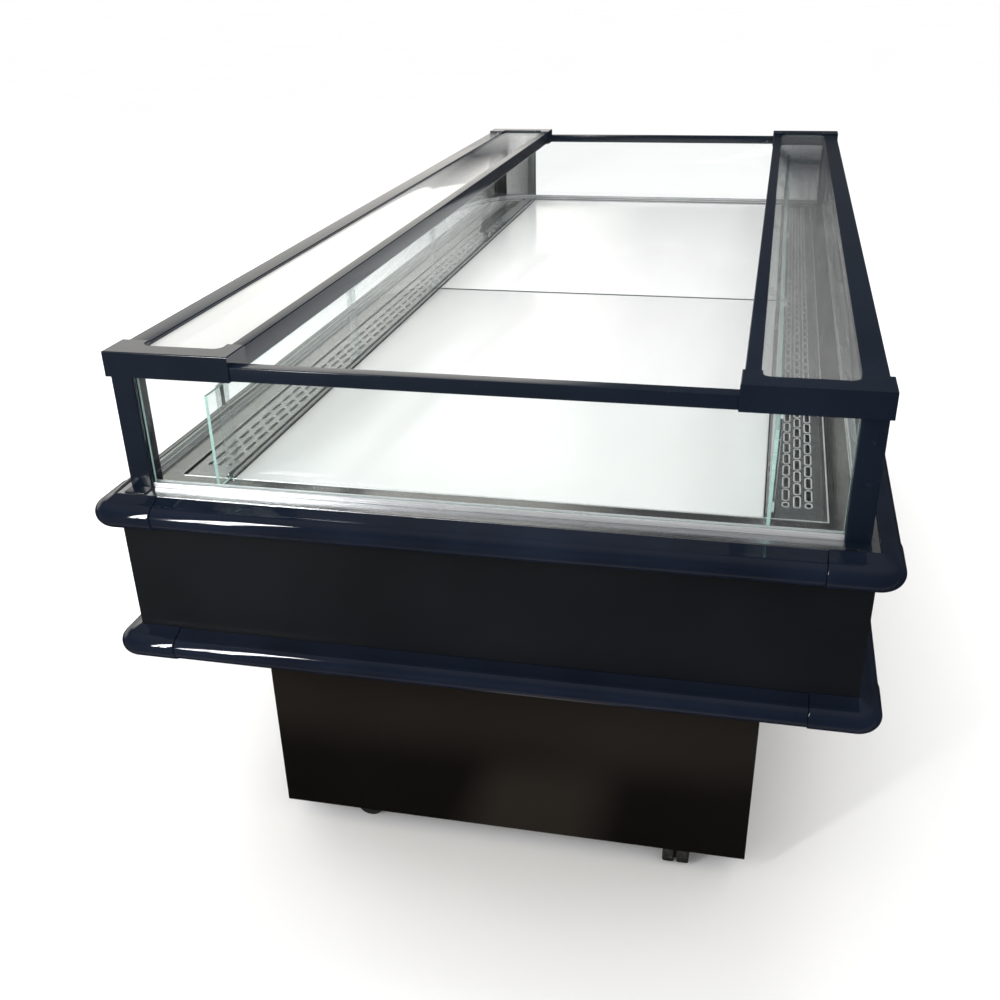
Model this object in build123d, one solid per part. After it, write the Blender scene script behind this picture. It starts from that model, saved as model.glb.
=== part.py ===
from build123d import *
import os

# Open island freezer for a shop floor: an insulated display tub on a castor base, with a
# framed glass surround, an air grille along each long side and a lift-out white deck.
# Millimetres. X runs across, Y along the tub, Z up. The origin is on the floor under the
# middle of the cabinet. "near" is the -Y end, "far" the +Y end, "left" -X and "right" +X.

# ---------------------------------------------------------------- overall sizes
overall_height = 920.0
frame_width = 1050.0
frame_length = 2400.0
cap_height = 36.0
glass_height = 168.0
tub_depth = 262.0
skirt_gap = 42.0
skirt_inset_side = 120.0
skirt_inset_end = 166.0
panel_overhang_side = 6.0
panel_overhang_end = 20.0

# ---------------------------------------------------------------- fits between pieces
moving_gap = 0.4
seat_gap = 0.2
running_gap = 0.05

# ---------------------------------------------------------------- tub and sheet metal
sheet = 1.5
ledge_sheet = 2.0
wall_side = 59.5
wall_end = 76.5
floor_thickness = 55.0
band_width = 38.0
band_lip_drop = 24.0
support_shelf = 12.0
hem = 12.0

# ---------------------------------------------------------------- bumpers
bumper_height = 44.0
bumper_slope_run = 15.0
bumper_slope_drop = 8.0
bumper_wall = 3.0
bumper_joint_gap = 1.0
corner_arm = 64.0
corner_swell = 1.5

# ---------------------------------------------------------------- glass surround
post_size = 34.0
post_wall = 2.0
post_inset_side = 5.0
post_inset_end = 4.0
post_foot_reach = 18.0
cap_length_x = 186.0
cap_length_y = 60.0
cap_band = 36.0
cap_corner_radius = 12.0
cap_edge_radius = 1.5
cap_wall = 3.0
cap_arm_side = 2.2
rail_height = 30.0
inner_rail_width = 21.0
outer_rail_width = 35.0
rail_entry = 15.0
end_rail_height = 20.0
end_rail_depth = 22.0
end_rail_inset = 2.0
glass_thickness = 5.0
end_glass_inset = 12.0
groove_depth = 4.0
canopy_drop = 8.0
channel_width = 12.0
channel_height = 8.0
channel_wall = 1.5
riser_height = 140.0
riser_offset = 138.0
riser_lift = 1.0
bracket_thickness = 4.0
bracket_foot = 36.0
bracket_count = 5
bracket_end_gap = 22.0

# ---------------------------------------------------------------- deck and grilles
deck_sheet = 1.5
deck_skirt = 20.0
deck_joint = 2.0
deck_side_gap = 1.5
grille_width = 63.0
grille_skirt = 12.0
slot_width = 8.5
slot_length = 38.0
slot_end_length = 15.0
slot_pitch = 45.0
slot_row_pitch = 15.6
slot_row_count = 3
slot_row_offset = 40.5
slot_end_margin = 22.0

# ---------------------------------------------------------------- deck frame, coil and fans
baffle_sheet = 2.0
riser_channel_wall = 1.3
riser_channel_rise = 6.0
deck_bar_width = 30.0
deck_bar_height = 20.0
baffle_port_count = 6
baffle_port_length = 260.0
baffle_port_height = 90.0
coil_width = 300.0
coil_length = 1700.0
coil_height = 130.0
coil_clearance = 14.0
coil_tube_radius = 6.0
coil_tube_pitch = 60.0
fin_sheet = 1.0
fin_count = 40
fan_radius = 74.0
fan_hub_radius = 24.0
fan_depth = 26.0
fan_blade_sheet = 2.5
fan_blade_count = 5
fan_blade_width = 34.0
fan_blade_pitch = 35.0
fan_tip_gap = 4.0
fan_gap = 2.0
fan_offset_y = 480.0
fan_plate_x = -230.0
motor_radius = 20.0
motor_depth = 34.0
motor_arm = 10.0
shaft_radius = 3.0
drain_radius = 16.0
drain_wall = 2.5
drain_x = -240.0
drain_y = 700.0
drain_end_height = 190.0

# ---------------------------------------------------------------- base and machinery
base_rail_width = 40.0
base_rail_height = 30.0
base_end_width = 80.0
base_wall = 2.5
upright_size = 30.0
upright_rows = 4
unit_plate_near = 120.0
unit_plate_far = 960.0
compressor_radius = 92.0
compressor_height = 190.0
compressor_x = -20.0
compressor_y = 280.0
compressor_foot = 12.0
compressor_crown = 50.0
compressor_foot_width = 146.0
stub_radius = 5.0
condenser_length = 380.0
condenser_height = 250.0
condenser_depth = 60.0
condenser_fin_count = 30
condenser_gap = 26.0
condenser_y = 720.0
condenser_fan_radius = 108.0
shroud_sheet = 2.0
shroud_depth = 46.0
tray_length = 260.0
tray_width = 180.0
tray_height = 40.0
tray_wall = 2.0

# ---------------------------------------------------------------- service side and controls
louvre_length = 180.0
louvre_height = 6.0
louvre_pitch = 18.0
louvre_count = 9
service_length = 640.0
service_height = 260.0
service_overlap = 14.0
service_lift = 10.0
service_tongue = 14.0
service_y = 620.0
controller_length = 120.0
controller_height = 52.0
controller_depth = 38.0
controller_lip = 8.0
controller_rise = 5.0
controller_x = -230.0
controller_drop = 74.0
display_length = 46.0
display_height = 22.0
display_depth = 1.2
button_radius = 5.0
button_pitch = 16.0
button_count = 3
button_proud = 2.0
button_travel = 1.2
button_flange = 1.5
inlet_length = 50.0
inlet_height = 34.0
inlet_depth = 30.0
inlet_x = 300.0
inlet_lift = 66.0
pin_width = 4.0
pin_sheet = 2.0
screw_head_radius = 5.0
screw_head_height = 2.2
screw_radius = 2.0
screw_length = 8.0
screw_pitch = 180.0

# ---------------------------------------------------------------- castors
wheel_radius = 25.0
wheel_width = 20.0
wheel_round = 3.0
wheel_dish_rim = 7.0
wheel_dish_depth = 1.5
wheel_cap_radius = 10.0
hood_sheet = 4.0
hood_top = 3.0
hood_inset = 8.0
hood_clearance = 2.0
castor_trail = 28.0
neck_lift = 5.5
castor_plate = 60.0
castor_plate_sheet = 3.0
castor_inset_side = 116.0
swing_clearance = 1.5
stem_radius = 5.0
stem_length = 6.0
neck_radius = 12.0
axle_radius = 3.0
wheel_side_gap = 0.4
swivel_gap = 0.5

# ---------------------------------------------------------------- levels and planes
cap_z = overall_height - cap_height
ledge_z = cap_z - glass_height
tub_z = ledge_z - tub_depth
cap_x = frame_width / 2
cap_y = frame_length / 2
panel_x = cap_x + panel_overhang_side
panel_y = cap_y + panel_overhang_end
skirt_x = panel_x - skirt_inset_side
skirt_y = panel_y - skirt_inset_end
foam_x = panel_x - sheet
foam_y = panel_y - sheet
foam_top = ledge_z - ledge_sheet
cavity_x = foam_x - wall_side
cavity_y = foam_y - wall_end
liner_x = cavity_x - sheet
liner_y = cavity_y - sheet
floor_z = tub_z + floor_thickness
liner_floor_z = floor_z + sheet
lip_x = liner_x - sheet
lip_y = liner_y - sheet
band_x = lip_x + band_width
band_y = lip_y + band_width
post_x = cap_x - post_inset_side
post_y = cap_y - post_inset_end
post_inner_x = post_x - post_size
post_inner_y = post_y - post_size
rail_top = overall_height - cap_wall
rail_z = rail_top - rail_height
cap_inner_x = cap_x - cap_length_x
cap_inner_y = cap_y - cap_length_y
outer_rail_x = post_x - outer_rail_width
inner_rail_x = cap_inner_x + cap_wall
canopy_inner_x = inner_rail_x + inner_rail_width
end_rail_z = cap_z + channel_wall
end_rail_top = end_rail_z + end_rail_height
end_glass_y = cap_y - end_glass_inset
side_glass_x = cap_x - end_glass_inset
riser_x = cap_x - riser_offset
riser_z = ledge_z + riser_lift
riser_top = ledge_z + riser_height
glass_seat_z = ledge_z + channel_wall
channel_y = end_glass_y - glass_thickness / 2
channel_x = side_glass_x - glass_thickness / 2
riser_y = channel_y - channel_width / 2 - riser_lift
canopy_top = overall_height - canopy_drop
riser_channel_in = riser_x - seat_gap - riser_channel_wall
riser_channel_out = riser_x + glass_thickness + seat_gap + riser_channel_wall
deck_x = riser_channel_in - deck_side_gap
deck_y = lip_y - deck_side_gap
deck_base_z = ledge_z - deck_skirt
grille_x = riser_x + glass_thickness + seat_gap + bracket_thickness + deck_side_gap
baffle_x = riser_x + (glass_thickness - baffle_sheet) / 2
base_x = skirt_x - sheet
base_y = skirt_y - sheet
hood_z = 2 * wheel_radius + hood_clearance
neck_top = hood_z + hood_top + neck_lift
castor_height = neck_top + swivel_gap + castor_plate_sheet
base_top = castor_height + base_rail_height
service_z = base_top + service_lift + service_overlap + service_height / 2
castor_x = skirt_x - castor_inset_side
wheel_side = hood_sheet / 2 + wheel_side_gap + wheel_width
wheel_reach = (wheel_radius ** 2 - max(skirt_gap - wheel_radius, 0.0) ** 2) ** 0.5
castor_swing = ((castor_trail + wheel_reach) ** 2 + wheel_side ** 2) ** 0.5
castor_y = skirt_y - 2 * sheet - castor_swing - swing_clearance


# ---------------------------------------------------------------- small helpers
def block(x0, x1, y0, y1, z0, z1):
    """A box between two corners, given as the low and high value on each axis."""
    centre = Pos((x0 + x1) / 2, (y0 + y1) / 2, (z0 + z1) / 2)
    return centre * Box(x1 - x0, y1 - y0, z1 - z0)


def ring(x_out, y_out, x_in, y_in, z0, z1):
    """A rectangular frame, centred on the cabinet, between two levels."""
    outer = block(-x_out, x_out, -y_out, y_out, z0, z1)
    return outer - block(-x_in, x_in, -y_in, y_in, z0, z1)


def rod(radius, length, x, y, z, axis):
    """A cylinder whose middle is at a point and which lies along X, Y or Z."""
    turn = {"X": Rot(0, 90, 0), "Y": Rot(90, 0, 0), "Z": Rot(0, 0, 0)}[axis]
    return Pos(x, y, z) * turn * Cylinder(radius, length)


def flip_x(shape):
    """The same piece on the other long side."""
    return mirror(shape, about=Plane.YZ)


def flip_y(shape):
    """The same piece at the other end."""
    return mirror(shape, about=Plane.XZ)


def four_corners(shape):
    """A right-hand far corner piece repeated on all four corners."""
    right = [shape, flip_y(shape)]
    return right + [flip_x(piece) for piece in right]


def spread(count, pitch):
    """Positions of evenly pitched items about zero."""
    return [(index - (count - 1) / 2) * pitch for index in range(count)]


def save(name, *solids):
    """Write the solids of one node to its own STEP file."""
    shape = solids[0] if len(solids) == 1 else Compound(children=list(solids))
    export_step(shape, f"parts/{name}.step")


# ---------------------------------------------------------------- base frame and skirts
def screw_places():
    """Centres of the skirt screws on one long side and one end, measured along the panel."""
    side_count = int((2 * base_y - base_end_width * 2) // (screw_pitch * 2)) + 1
    end_count = int((2 * base_x - base_rail_width * 2) // screw_pitch) + 1
    return spread(side_count, screw_pitch * 2), spread(end_count, screw_pitch)


def screw_rods(radius, length, proud):
    """Rods on every skirt screw's axis, reaching inwards. The near skirt is held by its neighbours."""
    side_places, end_places = screw_places()
    z = castor_height + base_rail_height / 2
    rods = []
    for side in (-1, 1):
        for along in side_places:
            rods.append(rod(radius, length, side * (skirt_x + proud - length / 2), along, z, "X"))
    for across in end_places:
        rods.append(rod(radius, length, across, skirt_y + proud - length / 2, z, "Y"))
    return rods


def base_frame():
    """Welded channel rectangle with uprights under the tub and a plate for the machinery."""
    z0 = castor_height
    rail = block(base_x - base_rail_width, base_x, -base_y, base_y, z0, base_top)
    hollow = block(base_x - base_rail_width, base_x - base_wall, -base_y, base_y,
                   z0 + base_wall, base_top - base_wall)
    frame = rail - hollow
    frame += flip_x(rail - hollow)
    inner_x = base_x - base_wall
    end = block(-inner_x, inner_x, base_y - base_end_width, base_y, z0, base_top)
    end_hollow = block(-inner_x, inner_x, base_y - base_end_width + base_wall, base_y - base_wall,
                       z0 + base_wall, base_top)
    frame += end - end_hollow
    frame += flip_y(end - end_hollow)
    frame += block(-inner_x, inner_x, unit_plate_near, unit_plate_far, base_top - base_wall, base_top)
    upright_pitch = (2 * base_y - base_end_width) / (upright_rows - 1)
    for along in spread(upright_rows, upright_pitch):
        corner = block(base_x - upright_size, base_x, along - upright_size / 2,
                       along + upright_size / 2, base_top - base_wall, tub_z)
        corner -= block(base_x - upright_size, base_x - base_wall, along - upright_size / 2,
                        along + upright_size / 2 - base_wall, base_top, tub_z)
        frame += corner
        frame += flip_x(corner)
    head = block(base_x - upright_size, base_x, -base_y + base_end_width / 4,
                 base_y - base_end_width / 4, tub_z - base_wall, tub_z)
    frame += head
    frame += flip_x(head)
    for hole in screw_rods(screw_radius, screw_length, 0.0):
        frame -= hole
    return frame


def end_skirt():
    """Far skirt sheet with its bottom edge folded back flat, without openings."""
    face = block(-skirt_x, skirt_x, skirt_y - sheet, skirt_y, skirt_gap, tub_z)
    return face + block(-base_x, base_x, skirt_y - 2 * sheet, skirt_y - sheet, skirt_gap, skirt_gap + hem)


def side_skirt():
    """Right skirt sheet with its bottom edge folded back flat, without openings."""
    length = skirt_y - sheet
    face = block(skirt_x - sheet, skirt_x, -length, length, skirt_gap, tub_z)
    reach = skirt_y - 2 * sheet
    return face + block(skirt_x - 2 * sheet, skirt_x - sheet, -reach, reach, skirt_gap, skirt_gap + hem)


def louvres(x, y, z, depth):
    """A stack of round-ended ventilation slots through a side sheet."""
    plane = Plane(origin=(x, y, z), x_dir=(0, 1, 0), z_dir=(1, 0, 0))
    slot = SlotOverall(louvre_length, louvre_height)
    face = Sketch() + [Pos(0, level) * slot for level in spread(louvre_count, louvre_pitch)]
    return extrude(plane * face, depth, both=True)


def skirts():
    """Near, far, left and right skirt sheets with the openings each one has."""
    holes = screw_rods(screw_radius + seat_gap, screw_length, 0.0)
    near = flip_y(end_skirt())
    far = end_skirt()
    panel_z = tub_z - controller_drop
    reach = controller_length / 2 + seat_gap
    rise = controller_height / 2 + seat_gap
    far -= block(controller_x - reach, controller_x + reach, skirt_y - 2 * sheet, skirt_y + sheet,
                 panel_z - rise, panel_z + rise)
    socket_z = castor_height + inlet_lift
    reach = inlet_length / 2 + seat_gap
    rise = inlet_height / 2 + seat_gap
    far -= block(inlet_x - reach, inlet_x + reach, skirt_y - 2 * sheet, skirt_y + sheet,
                 socket_z - rise, socket_z + rise)
    left = flip_x(side_skirt())
    for along in (-service_y, service_y):
        for shift in spread(2, louvre_length + louvre_pitch):
            left -= louvres(-skirt_x, along + shift, service_z, 2 * sheet)
    right = side_skirt()
    half_length = service_length / 2
    half_height = service_height / 2
    right -= block(skirt_x - 2 * sheet, skirt_x + sheet, service_y - half_length, service_y + half_length,
                   service_z - half_height, service_z + half_height)
    for shift in spread(2, louvre_length + louvre_pitch):
        right -= louvres(skirt_x, shift - service_y, service_z, 2 * sheet)
    sheets = []
    for face in (near, far, left, right):
        for hole in holes:
            face -= hole
        sheets.append(face)
    return sheets


def service_panel():
    """Hook-on louvred cover over the machinery opening in the right skirt."""
    half_length = service_length / 2
    half_height = service_height / 2
    x0 = skirt_x + moving_gap
    cover = block(x0, x0 + sheet, service_y - half_length - service_overlap,
                  service_y + half_length + service_overlap,
                  service_z - half_height - service_overlap, service_z + half_height + service_overlap)
    tongue_z = service_z + half_height - moving_gap
    for side in (-1, 1):
        centre = service_y + side * half_length / 2
        cover += block(x0 - service_tongue, x0, centre - service_tongue, centre + service_tongue,
                       tongue_z - sheet, tongue_z)
    for shift in spread(3, louvre_length + louvre_pitch):
        cover -= louvres(x0, service_y + shift, service_z, 2 * sheet)
    return cover


def screws():
    """Pan-head screws that hold the skirts to the base frame."""
    shanks = screw_rods(screw_radius, screw_length, 0.0)
    heads = screw_rods(screw_head_radius, screw_head_height, screw_head_height)
    return [shank + head for shank, head in zip(shanks, heads)]


# ---------------------------------------------------------------- castors
def castor_plates():
    """Four castor top plates, each with the stem that its fork turns on."""
    plates = []
    for x, y in castor_centres():
        z0 = castor_height - castor_plate_sheet
        plate = Pos(x, y, z0 + castor_plate_sheet / 2) * Box(castor_plate, castor_plate, castor_plate_sheet)
        stem = rod(stem_radius, stem_length, x, y, z0 - stem_length / 2, "Z")
        plates.append(plate + stem)
    return plates


def castor_centres():
    """Swivel axes, in the order near left, near right, far left, far right."""
    return [(x, y) for y in (-castor_y, castor_y) for x in (-castor_x, castor_x)]


def castor_fork():
    """Twin-wheel castor body about its swivel axis, with the wheels trailing along +X."""
    web = block(-neck_radius, castor_trail, -hood_sheet / 2, hood_sheet / 2, wheel_radius, hood_z)
    web += rod(wheel_radius - hood_inset, hood_sheet, castor_trail, 0, wheel_radius, "Y")
    half_width = hood_sheet / 2 + wheel_width
    top = block(-neck_radius, castor_trail + neck_radius, -half_width, half_width,
                hood_z, hood_z + hood_top)
    top = fillet(top.edges().filter_by(Axis.Z), neck_radius / 2)
    neck_z = (hood_z + neck_top) / 2
    neck = rod(neck_radius, neck_top - hood_z, 0, 0, neck_z, "Z")
    stem_floor = castor_height - castor_plate_sheet - stem_length - swivel_gap
    bore_length = neck_top - stem_floor
    bore = rod(stem_radius + running_gap, bore_length, 0, 0, stem_floor + bore_length / 2, "Z")
    axle_bore = rod(axle_radius, 2 * half_width, castor_trail, 0, wheel_radius, "Y")
    return web + top + neck - bore - axle_bore


def castor_axle():
    """Axle pin pressed through the castor body."""
    length = hood_sheet + 2 * (wheel_side_gap + wheel_width)
    return rod(axle_radius, length, castor_trail, 0, wheel_radius, "Y")


def castor_wheel(side):
    """One wheel of the pair, with a rounded tread and a recessed outer face."""
    y = side * (hood_sheet / 2 + wheel_side_gap + wheel_width / 2)
    wheel = rod(wheel_radius, wheel_width, castor_trail, y, wheel_radius, "Y")
    wheel = fillet(wheel.edges().filter_by(GeomType.CIRCLE), wheel_round)
    dish_y = y + side * wheel_width / 2
    depth = 2 * wheel_dish_depth
    dish = rod(wheel_radius - wheel_dish_rim, depth, castor_trail, dish_y, wheel_radius, "Y")
    cap = rod(wheel_cap_radius, depth, castor_trail, dish_y, wheel_radius, "Y")
    bore = rod(axle_radius + running_gap, wheel_width * 2, castor_trail, y, wheel_radius, "Y")
    return wheel - (dish - cap) - bore


# ---------------------------------------------------------------- tub
def tub_body():
    """Foamed tub body with the drain hole through its floor."""
    body = block(-foam_x, foam_x, -foam_y, foam_y, tub_z, foam_top)
    body -= block(-cavity_x, cavity_x, -cavity_y, cavity_y, floor_z, foam_top)
    return body - rod(drain_radius, 3 * floor_thickness, drain_x, drain_y, tub_z, "Z")


def end_panel():
    """Far outer sheet of the tub."""
    return block(-panel_x, panel_x, foam_y, panel_y, tub_z, foam_top)


def side_panel():
    """Right outer sheet of the tub."""
    return block(foam_x, panel_x, -foam_y, foam_y, tub_z, foam_top)


def liner():
    """Inner sheet of the tub with a shelf along each side for the grilles."""
    shell = block(-cavity_x, cavity_x, -cavity_y, cavity_y, floor_z, foam_top)
    shell -= block(-liner_x, liner_x, -liner_y, liner_y, liner_floor_z, foam_top)
    shelf_z = ledge_z - grille_skirt - moving_gap
    shelf_base = shelf_z - band_lip_drop
    for side in (-1, 1):
        near_x, far_x = sorted((side * (lip_x - support_shelf), side * liner_x))
        shell += block(near_x, far_x, -liner_y, liner_y, shelf_base, shelf_base + sheet)
        near_x, far_x = sorted((side * (lip_x - support_shelf), side * (lip_x - support_shelf + sheet)))
        shell += block(near_x, far_x, -lip_y, lip_y, shelf_base, shelf_z)
    return shell - rod(drain_radius, 4 * sheet, drain_x, drain_y, floor_z, "Z")


def rim_ledge():
    """Outer ledge sheet around the top of the tub."""
    return ring(panel_x, panel_y, band_x, band_y, foam_top, ledge_z)


def inner_band():
    """Inner ledge band with a lip that hangs in front of the liner."""
    flat = ring(band_x, band_y, lip_x, lip_y, foam_top, ledge_z)
    lip = ring(liner_x, liner_y, lip_x, lip_y, ledge_z - band_lip_drop, foam_top)
    return flat + lip


# ---------------------------------------------------------------- bumpers
def bumper_section(swell, back=0.0):
    """Bumper outline, outwards from its back face: a falling top face and a round nose."""
    high = bumper_height / 2 + swell
    shoulder = high - bumper_slope_drop
    nose = (shoulder + high) / 2
    reach = bumper_slope_run + nose
    with BuildSketch() as section:
        with BuildLine():
            Polyline((bumper_slope_run, -high), (back, -high), (back, high), (bumper_slope_run, shoulder))
            ThreePointArc((bumper_slope_run, shoulder), (reach, shoulder - nose), (bumper_slope_run, -high))
        make_face()
    return section.sketch


def hollow_section():
    """Section of a straight bumper rail, hollow inside its wall."""
    return bumper_section(0.0) - bumper_section(-bumper_wall, bumper_wall)


def bumper_end_rail(z):
    """Straight bumper along the far end of the tub, at a given centre height."""
    length = 2 * (panel_x - corner_arm - bumper_joint_gap)
    plane = Plane(origin=(-length / 2, panel_y, z), x_dir=(0, 1, 0), z_dir=(1, 0, 0))
    return extrude(plane * hollow_section(), length)


def bumper_side_rail(z):
    """Straight bumper along the right side of the tub, at a given centre height."""
    length = 2 * (panel_y - corner_arm - bumper_joint_gap)
    plane = Plane(origin=(panel_x, length / 2, z), x_dir=(1, 0, 0), z_dir=(0, -1, 0))
    return extrude(plane * hollow_section(), length)


def bumper_corner(z):
    """Far right corner piece: two short arms joined by a quarter turn about the tub's corner."""
    section = bumper_section(corner_swell)
    along_y = Plane(origin=(panel_x, panel_y, z), x_dir=(1, 0, 0), z_dir=(0, -1, 0))
    side_arm = extrude(along_y * section, corner_arm)
    along_x = Plane(origin=(panel_x, panel_y, z), x_dir=(0, 1, 0), z_dir=(1, 0, 0))
    end_arm = extrude(along_x * section, -corner_arm)
    turn = revolve(along_y * section, axis=Axis((panel_x, panel_y, z), (0, 0, 1)), revolution_arc=90)
    return side_arm + turn + end_arm


# ---------------------------------------------------------------- glass surround
def end_glass():
    """Far end pane."""
    reach = post_inner_x - riser_lift
    return block(-reach, reach, end_glass_y - glass_thickness, end_glass_y,
                 glass_seat_z, end_rail_z + groove_depth)


def side_glass():
    """Right outer pane."""
    reach = post_inner_y - riser_lift
    return block(side_glass_x - glass_thickness, side_glass_x, -reach, reach,
                 glass_seat_z, rail_z + groove_depth)


def canopy_glass():
    """Right top pane between the inner and outer rails."""
    reach = cap_y - cap_band + groove_depth
    return block(canopy_inner_x - groove_depth, outer_rail_x + groove_depth, -reach, reach,
                 canopy_top - glass_thickness, canopy_top)


def riser_glass():
    """Right low pane between the deck and the air grille."""
    return block(riser_x, riser_x + glass_thickness, -riser_y, riser_y, riser_z, riser_top)


def eased(pane):
    """A pane's box with the seat clearance added all round, for cutting its groove."""
    size = pane.bounding_box()
    low = size.min
    high = size.max
    return block(low.X - seat_gap, high.X + seat_gap, low.Y - seat_gap, high.Y + seat_gap,
                 low.Z - seat_gap, high.Z + seat_gap)


def end_rail():
    """Far top rail between the corner caps."""
    reach = cap_inner_x + rail_entry
    top_y = cap_y - end_rail_inset
    rail = block(-reach, reach, top_y - end_rail_depth, top_y, end_rail_z, end_rail_top)
    return rail - eased(end_glass())


def outer_rail():
    """Right outer top rail, grooved for the side pane and the top pane."""
    reach = cap_inner_y + rail_entry
    rail = block(outer_rail_x, post_x, -reach, reach, rail_z, rail_top)
    return rail - eased(side_glass()) - eased(canopy_glass())


def inner_rail():
    """Right inner top rail, grooved for the top pane."""
    reach = cap_inner_y + rail_entry
    rail = block(inner_rail_x, canopy_inner_x, -reach, reach, rail_z, rail_top)
    return rail - eased(canopy_glass())


def corner_cap():
    """Far right corner cap: a band across the end with an arm over each side rail."""
    centre_x = cap_x - cap_length_x / 2
    outline = Pos(centre_x, cap_y - cap_length_y / 2) * Rectangle(cap_length_x, cap_length_y)
    window_x0 = canopy_inner_x + cap_arm_side
    window_x1 = outer_rail_x - cap_arm_side
    window_y1 = cap_y - cap_band
    window_length = 2 * cap_length_y
    window = Pos((window_x0 + window_x1) / 2, window_y1 - window_length / 2)
    window *= RectangleRounded(window_x1 - window_x0, window_length, cap_corner_radius)
    cap = extrude(Pos(0, 0, cap_z) * (outline - window), cap_height)
    outer = cap.edges().filter_by(lambda edge: edge.bounding_box().min.Z > overall_height - 0.01)
    cap = fillet(outer, cap_edge_radius)
    for piece in (outer_rail(), inner_rail(), end_rail(), end_glass(), side_glass(), canopy_glass()):
        cap -= eased(piece)
    return cap


def corner_post():
    """Far right post: a square tube on a foot plate that reaches out over the ledge."""
    tube = block(post_inner_x, post_x, post_inner_y, post_y, ledge_z, cap_z)
    tube -= block(post_inner_x + post_wall, post_x - post_wall, post_inner_y + post_wall,
                  post_y - post_wall, ledge_z + post_wall, cap_z)
    foot = block(post_inner_x, post_x, post_y, cap_y + post_foot_reach, ledge_z, ledge_z + post_wall)
    return tube + foot


def end_channel():
    """Far glazing channel between the posts."""
    half = channel_width / 2
    reach = post_inner_x
    channel = block(-reach, reach, channel_y - half, channel_y + half, ledge_z, ledge_z + channel_height)
    return channel - block(-reach, reach, channel_y - half + channel_wall, channel_y + half - channel_wall,
                           glass_seat_z, ledge_z + channel_height)


def side_channel():
    """Right glazing channel between the posts."""
    half = channel_width / 2
    reach = post_inner_y
    channel = block(channel_x - half, channel_x + half, -reach, reach, ledge_z, ledge_z + channel_height)
    return channel - block(channel_x - half + channel_wall, channel_x + half - channel_wall, -reach, reach,
                           glass_seat_z, ledge_z + channel_height)


def glass_brackets():
    """Clear gusset plates that tie the top of each riser pane to the inner rail."""
    brackets = []
    pitch = 2 * (cap_inner_y - bracket_end_gap) / (bracket_count - 1)
    plate_x = riser_x + glass_thickness + seat_gap
    for along in spread(bracket_count, pitch):
        outline = Polyline((inner_rail_x, rail_z), (canopy_inner_x, rail_z),
                           (plate_x + bracket_thickness, riser_top + bracket_thickness),
                           (plate_x + bracket_thickness, riser_top - bracket_foot),
                           (plate_x, riser_top - bracket_foot), (plate_x, riser_top + seat_gap),
                           (riser_x - bracket_thickness, riser_top + seat_gap), close=True)
        plane = Plane(origin=(0, along - bracket_thickness / 2, 0), x_dir=(1, 0, 0), z_dir=(0, -1, 0))
        gusset = extrude(plane * make_face(outline), -bracket_thickness)
        strap = block(plate_x, plate_x + bracket_thickness, along - bracket_foot / 2,
                      along + bracket_foot / 2, ledge_z + riser_channel_rise + riser_lift, riser_top)
        bracket = gusset + strap
        brackets.append(bracket)
        brackets.append(flip_x(bracket))
    return brackets


# ---------------------------------------------------------------- deck, grilles and air path
def deck_panel():
    """Far deck panel: a flat sheet with its edges folded down."""
    y0 = deck_joint / 2
    panel = block(-deck_x, deck_x, y0, deck_y, deck_base_z, ledge_z)
    return panel - block(-deck_x + deck_sheet, deck_x - deck_sheet, y0 + deck_sheet, deck_y - deck_sheet,
                         deck_base_z, ledge_z - deck_sheet)


def grille():
    """Right air grille: a slotted sheet with folded edges, rows staggered by half a pitch."""
    x1 = grille_x + grille_width
    tray = block(grille_x, x1, -deck_y, deck_y, ledge_z - grille_skirt, ledge_z)
    tray -= block(grille_x + deck_sheet, x1 - deck_sheet, -deck_y + deck_sheet, deck_y - deck_sheet,
                  ledge_z - grille_skirt, ledge_z - deck_sheet)
    slot = SlotOverall(slot_length, slot_width, rotation=90)
    short_slot = SlotOverall(slot_end_length, slot_width, rotation=90)
    slots = Sketch()
    usable = 2 * (deck_y - slot_end_margin)
    faces = []
    longest = int(usable // slot_pitch)
    for row, across in enumerate(spread(slot_row_count, slot_row_pitch)):
        place_x = riser_x + slot_row_offset + across
        count = longest - (row + 1) % 2
        for along in spread(count, slot_pitch):
            faces.append(Pos(place_x, along) * slot)
        if count < longest:
            end_y = (count - 1) * slot_pitch / 2 + slot_pitch - (slot_length - slot_end_length) / 2
            faces.append(Pos(place_x, -end_y) * short_slot)
            faces.append(Pos(place_x, end_y) * short_slot)
    slots += faces
    return tray - extrude(Pos(0, 0, ledge_z + sheet) * slots, -3 * sheet)


def deck_frame():
    """Side baffles with air ports, riser channels and the bars that carry the deck."""
    bar_top = deck_base_z - moving_gap
    baffle = block(baffle_x, baffle_x + baffle_sheet, -deck_y, deck_y, liner_floor_z, riser_z - baffle_sheet)
    port_pitch = 2 * deck_y / baffle_port_count
    port_z = liner_floor_z + base_rail_height
    for along in spread(baffle_port_count, port_pitch):
        baffle -= block(baffle_x, baffle_x + baffle_sheet, along - baffle_port_length / 2,
                        along + baffle_port_length / 2, port_z, port_z + baffle_port_height)
    channel = block(riser_channel_in, riser_channel_out, -deck_y, deck_y,
                    riser_z - baffle_sheet, ledge_z + riser_channel_rise)
    channel -= block(riser_x - seat_gap, riser_x + glass_thickness + seat_gap, -deck_y, deck_y,
                     riser_z, ledge_z + riser_channel_rise)
    side = baffle + channel
    frame = side + flip_x(side)
    for along in (-deck_y + deck_bar_width / 2, 0.0, deck_y - deck_bar_width / 2):
        frame += block(-baffle_x, baffle_x, along - deck_bar_width / 2, along + deck_bar_width / 2,
                       bar_top - deck_bar_height, bar_top)
    return frame


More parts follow.
